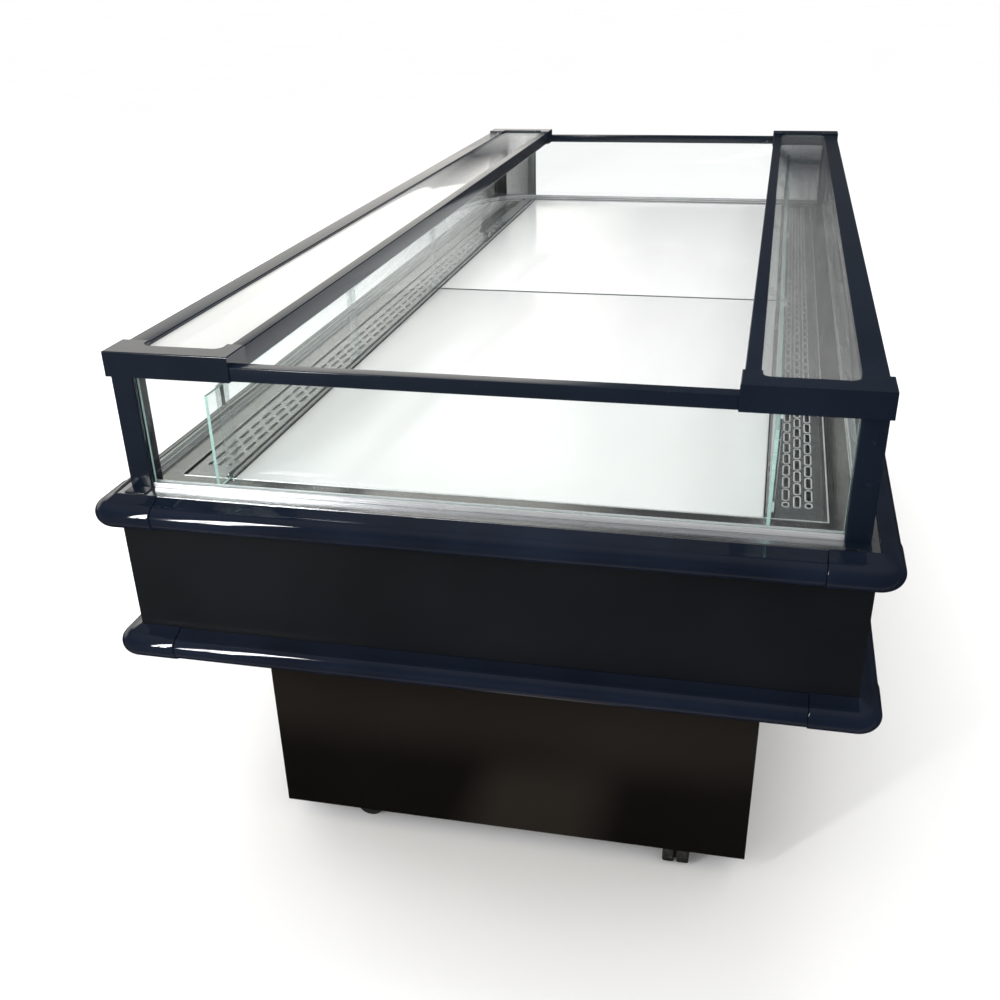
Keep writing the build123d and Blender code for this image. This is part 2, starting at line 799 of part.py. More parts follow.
def coil(length, width, height, count, x, y, z0):
    """A finned coil: thin plates across Y, joined by straight tubes along Y."""
    fins = []
    for place in spread(count, (length - fin_sheet) / (count - 1)):
        fins.append(block(x - width / 2, x + width / 2, y + place - fin_sheet / 2,
                          y + place + fin_sheet / 2, z0, z0 + height))
    tubes = []
    for level in spread(int(height // coil_tube_pitch), coil_tube_pitch):
        for across in spread(max(2, int(width // coil_tube_pitch)), min(coil_tube_pitch, width / 2)):
            tubes.append(rod(coil_tube_radius, length, x + across, y, z0 + height / 2 + level, "Y"))
    return Part() + fins + tubes


def fan(radius, x, y, z):
    """An axial fan on an X axis: a bored hub with flat pitched blades."""
    hub = rod(fan_hub_radius, fan_depth, x, y, z, "X")
    pieces = hub
    span = radius - fan_hub_radius / 2
    for index in range(fan_blade_count):
        blade = Pos(0, 0, fan_hub_radius / 2 + span / 2) * Rot(0, 0, fan_blade_pitch)
        blade *= Box(fan_blade_sheet, fan_blade_width, span)
        pieces += Pos(x, y, z) * Rot(index * 360 / fan_blade_count, 0, 0) * blade
    bore = rod(shaft_radius + running_gap, fan_depth, x, y, z, "X")
    return pieces - bore


def fan_mount(opening):
    """Motor, shaft, arms and feet of a fan that stands on a plate whose face is at X = 0."""
    motor_x = fan_depth + 2 * fan_gap
    arm_x = motor_x + motor_depth
    reach = opening + motor_arm
    half = motor_arm / 2
    mount = rod(motor_radius, motor_depth, motor_x + motor_depth / 2, 0, 0, "X")
    mount += block(arm_x - motor_arm, arm_x, -reach, reach, -half, half)
    mount += rod(shaft_radius, fan_depth, motor_x - fan_depth / 2, 0, 0, "X")
    for side in (-1, 1):
        mount += block(-sheet, arm_x, side * reach - half, side * reach + half, -half, half)
    return mount


def fan_centre_z():
    """Height of the evaporator fans, midway between the liner floor and the deck bars."""
    return (liner_floor_z + deck_base_z - moving_gap - deck_bar_height) / 2


def fan_plate():
    """Upright plate in the tub with two round openings and the fan motors on it."""
    z1 = deck_base_z - moving_gap - deck_bar_height
    reach_y = fan_offset_y + 3 * fan_radius
    opening = fan_radius + fan_tip_gap
    plate = block(fan_plate_x - sheet, fan_plate_x, -reach_y, reach_y, liner_floor_z, z1)
    for y in (-fan_offset_y, fan_offset_y):
        plate -= rod(opening, 4 * sheet, fan_plate_x, y, fan_centre_z(), "X")
        plate += Pos(fan_plate_x, y, fan_centre_z()) * fan_mount(opening)
    return plate


def drain_pipe():
    """Drain tube from the liner floor down to just above the drip tray."""
    length = liner_floor_z - drain_end_height
    z = (liner_floor_z + drain_end_height) / 2
    tube = rod(drain_radius, length, drain_x, drain_y, z, "Z")
    return tube - rod(drain_radius - drain_wall, length, drain_x, drain_y, z, "Z")


# ---------------------------------------------------------------- machinery
def compressor():
    """Hermetic compressor shell with a foot plate and two pipe stubs."""
    z0 = base_top + compressor_foot
    body = rod(compressor_radius, compressor_height, compressor_x, compressor_y,
               z0 + compressor_height / 2, "Z")
    body = fillet(body.edges().filter_by(GeomType.CIRCLE), compressor_crown)
    reach = compressor_radius + compressor_foot
    half_width = compressor_foot_width / 2
    body += block(compressor_x - reach, compressor_x + reach, compressor_y - half_width,
                  compressor_y + half_width, z0, z0 + 2 * base_wall)
    for side in (-1, 1):
        for end in (-1, 1):
            foot_x = compressor_x + side * (reach - compressor_foot)
            foot_y = compressor_y + end * (half_width - compressor_foot)
            body += rod(compressor_foot, compressor_foot, foot_x, foot_y, base_top + compressor_foot / 2, "Z")
        body += rod(stub_radius, 3 * compressor_foot, compressor_x + side * compressor_radius / 2,
                    compressor_y, z0 + compressor_height + compressor_foot / 2, "Z")
    return body


def condenser_centre():
    """Centre of the condenser block: X and Z."""
    x = base_x - upright_size - condenser_gap - condenser_depth / 2
    return x, base_top + sheet + condenser_height / 2


def condenser():
    """Finned condenser block behind the service panel."""
    x, z = condenser_centre()
    return coil(condenser_length, condenser_depth, condenser_height, condenser_fin_count,
                x, condenser_y, z - condenser_height / 2)


def condenser_shroud():
    """Sheet shroud behind the condenser with a round opening and the fan motor on it."""
    x, z = condenser_centre()
    x1 = x - condenser_depth / 2
    x0 = x1 - shroud_depth
    half_length = condenser_length / 2
    half_height = condenser_height / 2
    opening = condenser_fan_radius + fan_tip_gap
    shroud = block(x0, x1, condenser_y - half_length, condenser_y + half_length,
                   z - half_height, z + half_height)
    inner_length = half_length - shroud_sheet
    inner_height = half_height - shroud_sheet
    shroud -= block(x0 + shroud_sheet, x1, condenser_y - inner_length, condenser_y + inner_length,
                    z - inner_height, z + inner_height)
    shroud -= rod(opening, 4 * shroud_sheet, x0, condenser_y, z, "X")
    return shroud + Pos(x0, condenser_y, z) * Rot(0, 0, 180) * fan_mount(opening)


def drip_tray():
    """Open tray under the drain pipe."""
    x0 = drain_x - tray_width / 2
    y0 = drain_y - tray_length / 2
    tray = block(x0, x0 + tray_width, y0, y0 + tray_length, base_top, base_top + tray_height)
    return tray - block(x0 + tray_wall, x0 + tray_width - tray_wall, y0 + tray_wall,
                        y0 + tray_length - tray_wall, base_top + tray_wall, base_top + tray_height)


# ---------------------------------------------------------------- controls and power inlet
def button_places():
    """Centres of the controller's buttons, across and up."""
    panel_z = tub_z - controller_drop
    first = controller_x - controller_length / 2 + controller_lip + button_radius + button_flange
    return [(first + index * button_pitch, panel_z) for index in range(button_count)]


def controller():
    """Controller box in the far skirt with a raised bezel, a display recess and button holes."""
    panel_z = tub_z - controller_drop
    half_length = controller_length / 2
    half_height = controller_height / 2
    body = block(controller_x - half_length, controller_x + half_length, skirt_y - controller_depth,
                 skirt_y, panel_z - half_height, panel_z + half_height)
    lip = controller_lip / 2
    bezel = block(controller_x - half_length - lip, controller_x + half_length + lip, skirt_y,
                  skirt_y + controller_rise, panel_z - half_height - lip, panel_z + half_height + lip)
    front = [edge for edge in bezel.edges() if edge.bounding_box().min.Y > skirt_y + controller_rise - 0.01]
    body += fillet(front, cap_edge_radius)
    display_x = controller_x + half_length - controller_lip - display_length / 2
    face_y = skirt_y + controller_rise
    body -= block(display_x - display_length / 2, display_x + display_length / 2, face_y - display_depth,
                  face_y, panel_z - display_height / 2, panel_z + display_height / 2)
    depth = controller_rise + button_travel + 2 * button_flange
    for x, z in button_places():
        body -= rod(button_radius + moving_gap, 2 * controller_rise, x, face_y, z, "Y")
        wide = button_radius + button_flange + moving_gap
        body -= rod(wide, depth, x, face_y - controller_rise / 2 - depth / 2, z, "Y")
    return body


def button(x, z):
    """One push button with the flange that keeps it in its hole."""
    face_y = skirt_y + controller_rise
    flange_y = face_y - controller_rise / 2 - moving_gap
    cap_middle = (face_y + button_proud + flange_y) / 2
    cap = rod(button_radius, button_proud + face_y - flange_y, x, cap_middle, z, "Y")
    crown = [edge for edge in cap.edges() if edge.bounding_box().min.Y > face_y + button_proud - 0.01]
    cap = fillet(crown, button_flange / 2)
    return cap + rod(button_radius + button_flange, button_flange, x, flange_y - button_flange / 2, z, "Y")


def power_inlet():
    """Recessed three-pin inlet in the far skirt."""
    z = castor_height + inlet_lift
    half_length = inlet_length / 2
    half_height = inlet_height / 2
    body = block(inlet_x - half_length, inlet_x + half_length, skirt_y - inlet_depth, skirt_y,
                 z - half_height, z + half_height)
    lip = controller_lip / 2
    body += block(inlet_x - half_length - lip, inlet_x + half_length + lip, skirt_y, skirt_y + ledge_sheet,
                  z - half_height - lip, z + half_height + lip)
    well_depth = inlet_depth - 4 * ledge_sheet
    wall = 3 * ledge_sheet
    body -= block(inlet_x - half_length + wall, inlet_x + half_length - wall, skirt_y - well_depth,
                  skirt_y + ledge_sheet, z - half_height + wall, z + half_height - wall)
    for across in spread(3, half_length / 2):
        lift = pin_width / 2 if across == 0 else -pin_width / 2
        body += block(inlet_x + across - pin_sheet / 2, inlet_x + across + pin_sheet / 2,
                      skirt_y - well_depth - ledge_sheet, skirt_y - 2 * ledge_sheet,
                      z + lift - pin_width / 2, z + lift + pin_width / 2)
    return body


# ---------------------------------------------------------------- write every node
def main():
    """Build every piece and write it to its own file."""
    os.makedirs("parts", exist_ok=True)
    save("base_frame", base_frame())
    for name, face in zip(("skirt_near", "skirt_far", "skirt_left", "skirt_right"), skirts()):
        save(name, face)
    save("service_panel", service_panel())
    save("screws", *screws())

    save("castor_plates", *castor_plates())
    names = ("near_left", "near_right", "far_left", "far_right")
    headings = (0, -90, 90, 180)
    for name, heading, (x, y) in zip(names, headings, castor_centres()):
        place = Pos(x, y, 0) * Rot(0, 0, heading)
        save(f"castor_fork_{name}", place * castor_fork(), place * castor_axle())
        save(f"castor_wheels_{name}", place * castor_wheel(-1), place * castor_wheel(1))

    save("tub_body", tub_body())
    save("tub_panel_far", end_panel())
    save("tub_panel_near", flip_y(end_panel()))
    save("tub_panel_right", side_panel())
    save("tub_panel_left", flip_x(side_panel()))
    save("liner", liner())
    save("rim_ledge", rim_ledge())
    save("inner_band", inner_band())

    rails = []
    corners = []
    for z in (ledge_z - bumper_height / 2, tub_z + bumper_height / 2):
        end = bumper_end_rail(z)
        side = bumper_side_rail(z)
        rails += [end, flip_y(end), side, flip_x(side)]
        corners += four_corners(bumper_corner(z))
    save("bumper_rails", *rails)
    save("bumper_corners", *corners)

    save("corner_posts", *four_corners(corner_post()))
    save("corner_caps", *four_corners(corner_cap()))
    save("end_rails", end_rail(), flip_y(end_rail()))
    save("outer_rails", outer_rail(), flip_x(outer_rail()))
    save("inner_rails", inner_rail(), flip_x(inner_rail()))
    save("glazing_channels", end_channel(), flip_y(end_channel()), side_channel(), flip_x(side_channel()))
    save("end_glass", end_glass(), flip_y(end_glass()))
    for name, pane in (("side", side_glass()), ("canopy", canopy_glass()), ("riser", riser_glass())):
        save(f"{name}_glass_right", pane)
        save(f"{name}_glass_left", flip_x(pane))
    save("glass_brackets", *glass_brackets())

    save("deck_far", deck_panel())
    save("deck_near", flip_y(deck_panel()))
    save("grille_right", grille())
    save("grille_left", flip_x(grille()))
    save("deck_frame", deck_frame())
    coil_x = (fan_plate_x + baffle_x) / 2 + motor_depth
    save("evaporator_coil", coil(coil_length, coil_width, coil_height, fin_count, coil_x, 0.0,
                                 liner_floor_z + coil_clearance))
    save("fan_plate", fan_plate())
    fan_x = fan_plate_x + fan_gap + fan_depth / 2
    save("evaporator_fan_near", fan(fan_radius, fan_x, -fan_offset_y, fan_centre_z()))
    save("evaporator_fan_far", fan(fan_radius, fan_x, fan_offset_y, fan_centre_z()))
    save("drain_pipe", drain_pipe())

    save("compressor", compressor())
    save("condenser", condenser())
    save("condenser_shroud", condenser_shroud())
    condenser_x, condenser_z = condenser_centre()
    condenser_fan_x = condenser_x - condenser_depth / 2 - shroud_depth - fan_gap - fan_depth / 2
    save("condenser_fan", fan(condenser_fan_radius, condenser_fan_x, condenser_y, condenser_z))
    save("drip_tray", drip_tray())

    save("controller", controller())
    for name, (x, z) in zip(("down", "up", "power"), button_places()):
        save(f"button_{name}", button(x, z))
    save("power_inlet", power_inlet())


main()
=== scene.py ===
import math
import bpy
import numpy as np
from mathutils import Matrix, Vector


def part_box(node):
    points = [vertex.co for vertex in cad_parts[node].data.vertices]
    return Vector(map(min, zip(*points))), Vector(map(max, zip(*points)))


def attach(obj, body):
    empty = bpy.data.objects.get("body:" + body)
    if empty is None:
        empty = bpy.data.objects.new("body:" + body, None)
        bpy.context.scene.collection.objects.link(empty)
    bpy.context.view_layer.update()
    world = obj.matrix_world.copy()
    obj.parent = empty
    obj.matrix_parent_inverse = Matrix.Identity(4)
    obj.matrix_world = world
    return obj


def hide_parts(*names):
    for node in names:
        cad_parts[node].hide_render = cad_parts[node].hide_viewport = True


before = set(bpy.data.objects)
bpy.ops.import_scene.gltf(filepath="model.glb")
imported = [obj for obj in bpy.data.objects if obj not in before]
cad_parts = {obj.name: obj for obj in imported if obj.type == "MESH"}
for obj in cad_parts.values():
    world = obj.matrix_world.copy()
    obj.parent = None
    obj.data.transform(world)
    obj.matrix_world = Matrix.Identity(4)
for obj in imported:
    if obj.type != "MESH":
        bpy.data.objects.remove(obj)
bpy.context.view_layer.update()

bl_info = {
    "name": "Island display freezer",
    "version": (1, 0, 0),
    "blender": (4, 5, 0),
    "location": "3D View > Sidebar > Freezer",
    "description": "Finished surfaces for an open island freezer, built round its engineering frame",
    "category": "Object",
}

ROUND_STEPS = 5
NOSE_POINTS = 25
TURN_POINTS = 17
LIP_POINTS = 4
SLOT_END_POINTS = 7
SHARP_ANGLE = math.radians(32)
JUST_MORE = 1.0001
END_BRUSHING = 0.040
CAST_EDGE = (0.004, 0.002)
CORNER_SIGNS = np.array([(1, 1), (-1, 1), (-1, -1), (1, -1)], float)


# ------------------------------------------------------------------ places read from the frame
def corners_of(node):
    """Lowest and highest corner of a frame node as two arrays."""
    low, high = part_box(node)
    return np.array(low), np.array(high)


LEDGE_Z = corners_of("rim_ledge")[1][2]
PANEL_X, PANEL_Y, _ = corners_of("rim_ledge")[1]
BAND_X, BAND_Y, _ = corners_of("inner_band")[1]
TUB_Z = corners_of("tub_body")[0][2]
CAP_Y = corners_of("corner_caps")[1][1]
CAP_Z = corners_of("corner_caps")[0][2]


# ------------------------------------------------------------------ sizes and colours to change
def length_property(label, words, size):
    """A length in metres that a user can change."""
    return bpy.props.FloatProperty(name=label, description=words, default=size, unit="LENGTH")


def colour_property(label, words, colour):
    """A linear colour that a user can change."""
    return bpy.props.FloatVectorProperty(name=label, description=words, subtype="COLOR", size=3,
                                         min=0.0, max=1.0, default=colour)


class FreezerBumpers(bpy.types.PropertyGroup):
    height: length_property("Height", "Height of a straight bumper", 0.044)
    slope_run: length_property("Slope run", "Width of the falling top face", 0.015)
    slope_drop: length_property("Slope drop", "Fall of the top face", 0.008)
    crease: length_property("Crease radius", "Radius of the edges of the section", 0.0014)
    corner_arm: length_property("Corner arm", "Length of a corner piece's arms", 0.064)
    corner_swell: length_property("Corner swell", "How far corners stand proud", 0.0015)
    corner_ease: length_property("Corner ease", "Length over which a corner's end is rounded", 0.002)
    joint_gap: length_property("Joint gap", "Gap between rail and corner piece", 0.001)


class FreezerSurround(bpy.types.PropertyGroup):
    post_radius: length_property("Post edge", "Radius of the posts' edges", 0.0022)
    rail_radius: length_property("Rail edge", "Radius of the rails' edges", 0.0014)
    pane_arris: length_property("Pane arris", "Radius of the polished pane edges", 0.0007)
    foot_sheet: length_property("Foot sheet", "Thickness of the post feet", 0.002)
    post_size: length_property("Post", "Side of a square corner post", 0.034)
    channel_wall: length_property("Channel wall", "Wall of the glazing channels", 0.0015)
    channel_width: length_property("Channel width", "Width of the glazing channels", 0.012)
    channel_crease: length_property("Channel edge", "Radius of the channels' edges", 0.0004)
    cap_cover: length_property("Cap cover", "How far the caps stand out past the posts", 0.004)
    post_lap: length_property("Post lap", "How far posts, caps and feet run into each other", 0.002)
    post_end: length_property("Post end", "Radius round the ends of a post", 0.0003)
    foot_end: length_property("Foot edge", "Radius round the faces of a foot", 0.0006)
    end_rail: length_property("End rail", "Depth of an end rail", 0.022)
    outer_rail: length_property("Outer rail", "Depth of an outer side rail", 0.035)
    inner_rail: length_property("Inner rail", "Depth of an inner side rail", 0.021)
    end_pane: length_property("End pane", "Thickness of an end pane", 0.005)


class FreezerLedge(bpy.types.PropertyGroup):
    sheet: length_property("Sheet", "Thickness of the ledge sheet", 0.002)
    crease: length_property("Crease", "Radius of the ledge sheet's edges", 0.0004)
    roll: length_property("Roll", "How far the top of the outer edge is rolled in", 0.0008)
    band_width: length_property("Band", "Width of the inner band", 0.038)
    lip_bead: length_property("Lip bead", "Radius of the bead along the band's inner lip", 0.0011)
    lip_offset: length_property("Lip bead offset", "From the inner lip out to its bead", 0.0012)
    edge_bead: length_property("Edge bead", "Radius of the bead along the band's outer edge", 0.0009)
    edge_offset: length_property("Edge bead offset", "From the side's outer edge in to its bead", 0.0016)


class FreezerDeck(bpy.types.PropertyGroup):
    fold: length_property("Fold radius", "Radius of the folded deck edges", 0.0025)
    sheet: length_property("Sheet", "Thickness of the deck and grille sheets", 0.0015)
    slot_length: length_property("Slot length", "Overall length of a grille slot", 0.038)
    end_slot_length: length_property("End slot length", "Short slots that end a row", 0.015)
    slot_width: length_property("Slot width", "Width of a grille slot", 0.0085)
    slot_pitch: length_property("Slot pitch", "Pitch of the slots along the grille", 0.045)
    row_pitch: length_property("Row pitch", "Pitch of the rows across the grille", 0.0156)
    row_inset: length_property("First row", "First row from the grille's inner edge", 0.0142)
    rows: bpy.props.IntProperty(name="Rows", description="Rows of slots", default=3)
    row_slots: bpy.props.IntProperty(name="Slots in a row", description="Slots in the middle row", default=49)
    rim: length_property("Rim", "Radius of the rolled rim of a slot", 0.0011)
    seal_near: length_property("Seal near lap", "How far the joint seal covers the near panel", 0.0018)
    seal_far: length_property("Seal far lap", "How far the joint seal covers the far panel", 0.0035)
    seal_rise: length_property("Seal rise", "Height of the joint seal above the deck", 0.0011)
    seal_bed: length_property("Seal bed", "How far the joint seal sinks into the deck", 0.00005)
    seal_edge: length_property("Seal edge", "Radius of the joint seal's edges", 0.0004)


class FreezerGussets(bpy.types.PropertyGroup):
    count: bpy.props.IntProperty(name="Count", description="Gussets along each side", default=5)
    sheet: length_property("Sheet", "Thickness of the clear plates", 0.004)
    foot: length_property("Foot", "Width of the straps on the risers", 0.036)
    end_gap: length_property("End gap", "From a rail's end to the last gusset", 0.037)
    glass_gap: length_property("Glass gap", "Clearance between a gusset and the riser's glass", 0.0002)


class FreezerColours(bpy.types.PropertyGroup):
    frame_paint: colour_property("Frame paint", "Gloss paint of caps, posts and rails", (0.006, 0.010, 0.018))
    bumper: colour_property("Bumper", "Bumper plastic", (0.006, 0.009, 0.017))
    tub: colour_property("Tub paint", "Satin paint of the tub", (0.0050, 0.0058, 0.0075))
    skirt: colour_property("Skirt paint", "Paint of the base skirts", (0.0035, 0.0030, 0.0028))
    deck: colour_property("Deck enamel", "White enamel of the deck", (0.74, 0.745, 0.74))
    glass_edge: colour_property("Glass edge", "Polished edge of the panes", (0.36, 0.52, 0.49))


class FreezerView(bpy.types.PropertyGroup):
    eye: bpy.props.FloatVectorProperty(name="Eye", description="Camera position", subtype="TRANSLATION",
                                       size=3, default=(0.3584, -2.5702, 1.3723))
    azimuth: bpy.props.FloatProperty(name="Azimuth", description="Turn from +Y towards -X, degrees",
                                     default=13.433)
    elevation: bpy.props.FloatProperty(name="Elevation", description="How far the view looks down, degrees",
                                       default=29.170)
    roll: bpy.props.FloatProperty(name="Roll", description="Turn of the camera on its axis, degrees",
                                  default=1.329)
    lens: bpy.props.FloatProperty(name="Lens", description="Focal length in millimetres", default=40.95)
    rise: bpy.props.FloatProperty(name="Rise", description="Vertical lens shift", default=0.10)


# ------------------------------------------------------------------ shader tools
class Value:
    """A node's output that can stand in an expression; each operation adds one Math node."""

    def __init__(self, finish, socket):
        self.finish = finish
        self.socket = socket

    def math(self, operation, first, second=0.0):
        return self.finish.add("Math", {0: first, 1: second}, operation=operation)

    def __add__(self, other):
        return self.math("ADD", self, other)

    def __radd__(self, other):
        return self.math("ADD", other, self)

    def __sub__(self, other):
        return self.math("SUBTRACT", self, other)

    def __rsub__(self, other):
        return self.math("SUBTRACT", other, self)

    def __mul__(self, other):
        return self.math("MULTIPLY", self, other)

    def __rmul__(self, other):
        return self.math("MULTIPLY", other, self)

    def __pow__(self, other):
        return self.math("POWER", self, other)

    def __gt__(self, other):
        return self.math("GREATER_THAN", self, other)

    def __abs__(self):
        return self.math("ABSOLUTE", self)


class Finish:
    """One procedural material while its nodes are being laid."""

    def __init__(self, name, tree=None):
        self.material = None
        self.tree = tree
        if tree is None:
            self.material = bpy.data.materials.new(name)
            self.material.use_nodes = True
            self.tree = self.material.node_tree
        self.tree.nodes.clear()

    def add(self, kind, sockets=None, out=0, **settings):
        """Adds a node: its settings first, then the values or links of its sockets."""
        node = self.tree.nodes.new("ShaderNode" + kind)
        for key, value in settings.items():
            setattr(node, key, value)
        for key, value in (sockets or {}).items():
            target = node.inputs[key]
            if isinstance(value, Value):
                self.tree.links.new(value.socket, target)
            elif target.type == "RGBA" and len(value) == 3:
                target.default_value = (*value, 1.0)
            else:
                target.default_value = value
        return Value(self, node.outputs[out] if node.outputs else None)

    def place(self, stretch=(1, 1, 1)):
        """Object coordinates, multiplied along each axis."""
        spot = self.add("TexCoord", out=3)
        return self.add("Mapping", {"Vector": spot, "Scale": stretch})

    def axis(self, letter):
        """One object coordinate as a number in metres."""
        return self.add("SeparateXYZ", {0: self.add("TexCoord", out=3)}, out="XYZ".index(letter))

    def noise(self, scale, detail=2.0, stretch=(1, 1, 1), rough=0.5):
        """Cloudy value from 0 to 1, centred near a half."""
        return self.add("TexNoise", {"Vector": self.place(stretch), "Scale": scale, "Detail": detail,
                                     "Roughness": rough})

    def cells(self, scale, out=0, stretch=(1, 1, 1)):
        """Distance to, or colour of, the nearest of many scattered points."""
        return self.add("TexVoronoi", {"Vector": self.place(stretch), "Scale": scale}, out=out)

    def range(self, value, low, high, to_low=0.0, to_high=1.0):
        """A value's stretch from low to high, carried to another and held at its ends."""
        return self.add("MapRange", {0: value, 1: low, 2: high, 3: to_low, 4: to_high})

    def blend(self, factor, first, second):
        """Two colours mixed by a factor."""
        return self.add("Mix", {0: factor, 6: first, 7: second}, out=2, data_type="RGBA")

    def bump(self, height, strength, depth, normal=None):
        """A surface normal tilted by a height pattern."""
        sockets = {"Height": height, "Strength": strength, "Distance": depth}
        if normal is not None:
            sockets["Normal"] = normal
        return self.add("Bump", sockets)

    def close(self, shader):
        """Joins the last shader to the output and returns the material."""
        self.add("OutputMaterial", {"Surface": shader})
        return self.material

    def surface(self, base, roughness, metallic=0.0, normal=None, **constants):
        """Finishes the material with one Principled shader."""
        sockets = {"Base Color": base, "Roughness": roughness, "Metallic": metallic}
        if normal is not None:
            sockets["Normal"] = normal
        for key, value in constants.items():
            sockets[key.replace("_", " ")] = value
        return self.close(self.add("BsdfPrincipled", sockets))


FINISHES = {}


def finish(name):
    """The named material, made the first time it is asked for."""
    if name not in FINISHES:
        FINISHES[name] = MAKERS[name]()
    return FINISHES[name]


def shade(colour, share):
    """A colour made lighter or darker by a share."""
    return tuple(min(1.0, part * share) for part in colour)


def colours():
    """The colours that the panel shows."""
    return bpy.context.scene.freezer_colours


# ------------------------------------------------------------------ finishes
def frame_paint():
    """Gloss navy powder coat: fine orange peel, faint cloudiness and a little dust."""
    f = Finish("frame_paint")
    base = tuple(colours().frame_paint)
    cloud = f.noise(7.0, 4.0)
    dust = f.noise(90.0, 6.0, rough=0.7)
    tone = f.blend(f.range(cloud, 0.35, 0.7), shade(base, 0.85), shade(base, 1.2))
    tone = f.blend(f.range(dust, 0.62, 0.8, 0.0, 0.05), tone, (0.30, 0.31, 0.33))
    peel = f.bump(f.noise(420.0, 2.0), 0.10, 0.0003)
    return f.surface(tone, f.range(cloud, 0.3, 0.8, 0.12, 0.20) + f.range(dust, 0.5, 0.8, 0.0, 0.06),
                     normal=f.bump(f.noise(24.0, 1.0), 0.06, 0.002, peel),
                     Coat_Roughness=0.05, Coat_Weight=0.1)


def bumper_plastic():
    """High-gloss extruded plastic with faint waviness along its length and hairline rubs."""
    f = Finish("bumper_plastic")
    base = tuple(colours().bumper)
    wave = f.noise(9.0, 2.0)
    rub = f.noise(60.0, 5.0, stretch=(0.15, 0.15, 6.0), rough=0.7)
    tone = f.blend(f.range(wave, 0.3, 0.7), shade(base, 0.8), shade(base, 1.25))
    return f.surface(tone, f.range(rub, 0.45, 0.8, 0.03, 0.10), normal=f.bump(wave, 0.06, 0.003),
                     Specular_IOR_Level=0.5)


def tub_paint():
    """Satin black powder coat with a fine grain."""
    f = Finish("tub_paint")
    base = tuple(colours().tub)
    cloud = f.noise(4.0, 5.0)
    grain = f.noise(1500.0, 2.0)
    tone = f.blend(f.range(cloud, 0.3, 0.7), shade(base, 0.85), shade(base, 1.25))
    tone = f.blend(f.range(grain, 0.60, 0.75, 0.0, 0.10), tone, (0.10, 0.12, 0.16))
    soft = f.bump(grain, 0.25, 0.0002)
    return f.surface(tone, f.range(cloud, 0.3, 0.8, 0.30, 0.38), Specular_IOR_Level=0.3,
                     normal=f.bump(f.noise(5.0, 1.0), 0.06, 0.004, soft))


def skirt_paint():
    """Semi-gloss black coat on thin sheet, which is slightly wavy over its height."""
    f = Finish("skirt_paint")
    base = tuple(colours().skirt)
    wave = f.noise(2.4, 1.5, stretch=(1, 1, 0.35))
    grain = f.noise(900.0, 2.0)
    cloud = f.noise(5.0, 5.0)
    tone = f.blend(f.range(cloud, 0.35, 0.75), base, shade(base, 1.35))
    return f.surface(tone, f.range(cloud, 0.35, 0.75, 0.12, 0.18), Specular_IOR_Level=0.5,
                     normal=f.bump(wave, 0.10, 0.006, f.bump(grain, 0.10, 0.0002)))


def pane_face():
    """Clear float glass, with faint wiping smears. Reflection rises towards grazing angles."""
    return clear_sheet("pane_face", (0.975, 0.99, 0.985), (0.0, 0.010), 0.015)


def painted_reflection_face():
    """Glass of the left canopy, mostly covered by a pale cream matt layer that is a painted reflection."""
    return clear_sheet("painted_reflection_face", (0.96, 0.96, 0.94), (0.60, 0.74), 0.05)


def dusty_face():
    """Glass of the right canopy, with a thin even veil of packing dust."""
    return clear_sheet("dusty_face", (0.97, 0.98, 0.975), (0.07, 0.18), 0.03)


def acrylic_face():
    """Clear polished acrylic with a little more haze and fine scratches."""
    return clear_sheet("acrylic_face", (0.93, 0.95, 0.95), (0.02, 0.10), 0.06)


def clear_sheet(name, tint, haze, roughness):
    """A transparent sheet: 4 % mirror at right angles and nearly all of it at grazing ones, by the fifth
    power of 1 - cosine. Haze gives the least and the most cover of a pale matt layer: smears and dust
    on most sheets, and a painted reflection on the left canopy."""
    f = Finish(name)
    slant = f.add("LayerWeight", {"Blend": 0.5}, out=1)
    mirror = 0.04 + 0.90 * slant ** 5.0
    smear_and_reflection_mask = f.range(f.noise(3.5, 6.0, stretch=(1, 0.4, 1.6), rough=0.65), 0.5, 0.85, *haze)
    see = f.add("BsdfTransparent", {"Color": tint})
    gloss = f.add("BsdfGlossy", {"Color": (1.0, 1.0, 1.0), "Roughness": roughness})
    # Pale matt layer: smears and dust on most sheets, a painted reflection on the left canopy.
    film_and_painted_reflection = f.add("BsdfDiffuse", {"Color": (0.86, 0.86, 0.84)})
    hazed_and_reflected = f.add("MixShader", {0: smear_and_reflection_mask, 1: see, 2: film_and_painted_reflection})
    return f.close(f.add("MixShader", {0: mirror, 1: hazed_and_reflected, 2: gloss}))


def pane_edge():
    """Ground and polished glass edge, sea green, with fine grinding lines."""
    f = Finish("pane_edge")
    base = tuple(colours().glass_edge)
    line = f.noise(300.0, 3.0, stretch=(0.05, 0.05, 1))
    tone = f.blend(line, shade(base, 0.8), shade(base, 1.5))
    return f.surface(tone, f.range(line, 0.3, 0.7, 0.10, 0.25), normal=f.bump(line, 0.08, 0.0003))


def grained(name, noise, dark, pale, rough, lift, metallic=0.0, stretch=(1, 1, 1)):
    """A finish of one even grain, which blends two shades, varies the roughness and lifts the surface."""
    f = Finish(name)
    grain = f.noise(*noise, stretch=stretch)
    tone = f.blend(grain, dark, pale)
    return f.surface(tone, f.range(grain, 0.3, 0.7, *rough), metallic, f.bump(grain, *lift))


def acrylic_edge():
    """Flame-polished acrylic edge, coloured pale as a painted highlight of the light it gathers."""
    return grained("acrylic_edge", (90.0, 3.0), (0.62, 0.68, 0.68), (0.86, 0.90, 0.90), (0.10, 0.22),
                   (0.06, 0.0004))


def along_sheet(f, scale, detail):
    """Brushing lines that run across the rim within its end brushing, and along its sides elsewhere."""
    across = f.noise(scale, detail, stretch=(0.012, 1, 1), rough=0.7)
    along = f.noise(scale, detail, stretch=(1, 0.012, 1), rough=0.7)
    at_end = abs(f.axis("Y")) > float(BAND_Y - END_BRUSHING)
    return f.add("Mix", {0: at_end, 2: along, 3: across}, out=0, data_type="FLOAT")


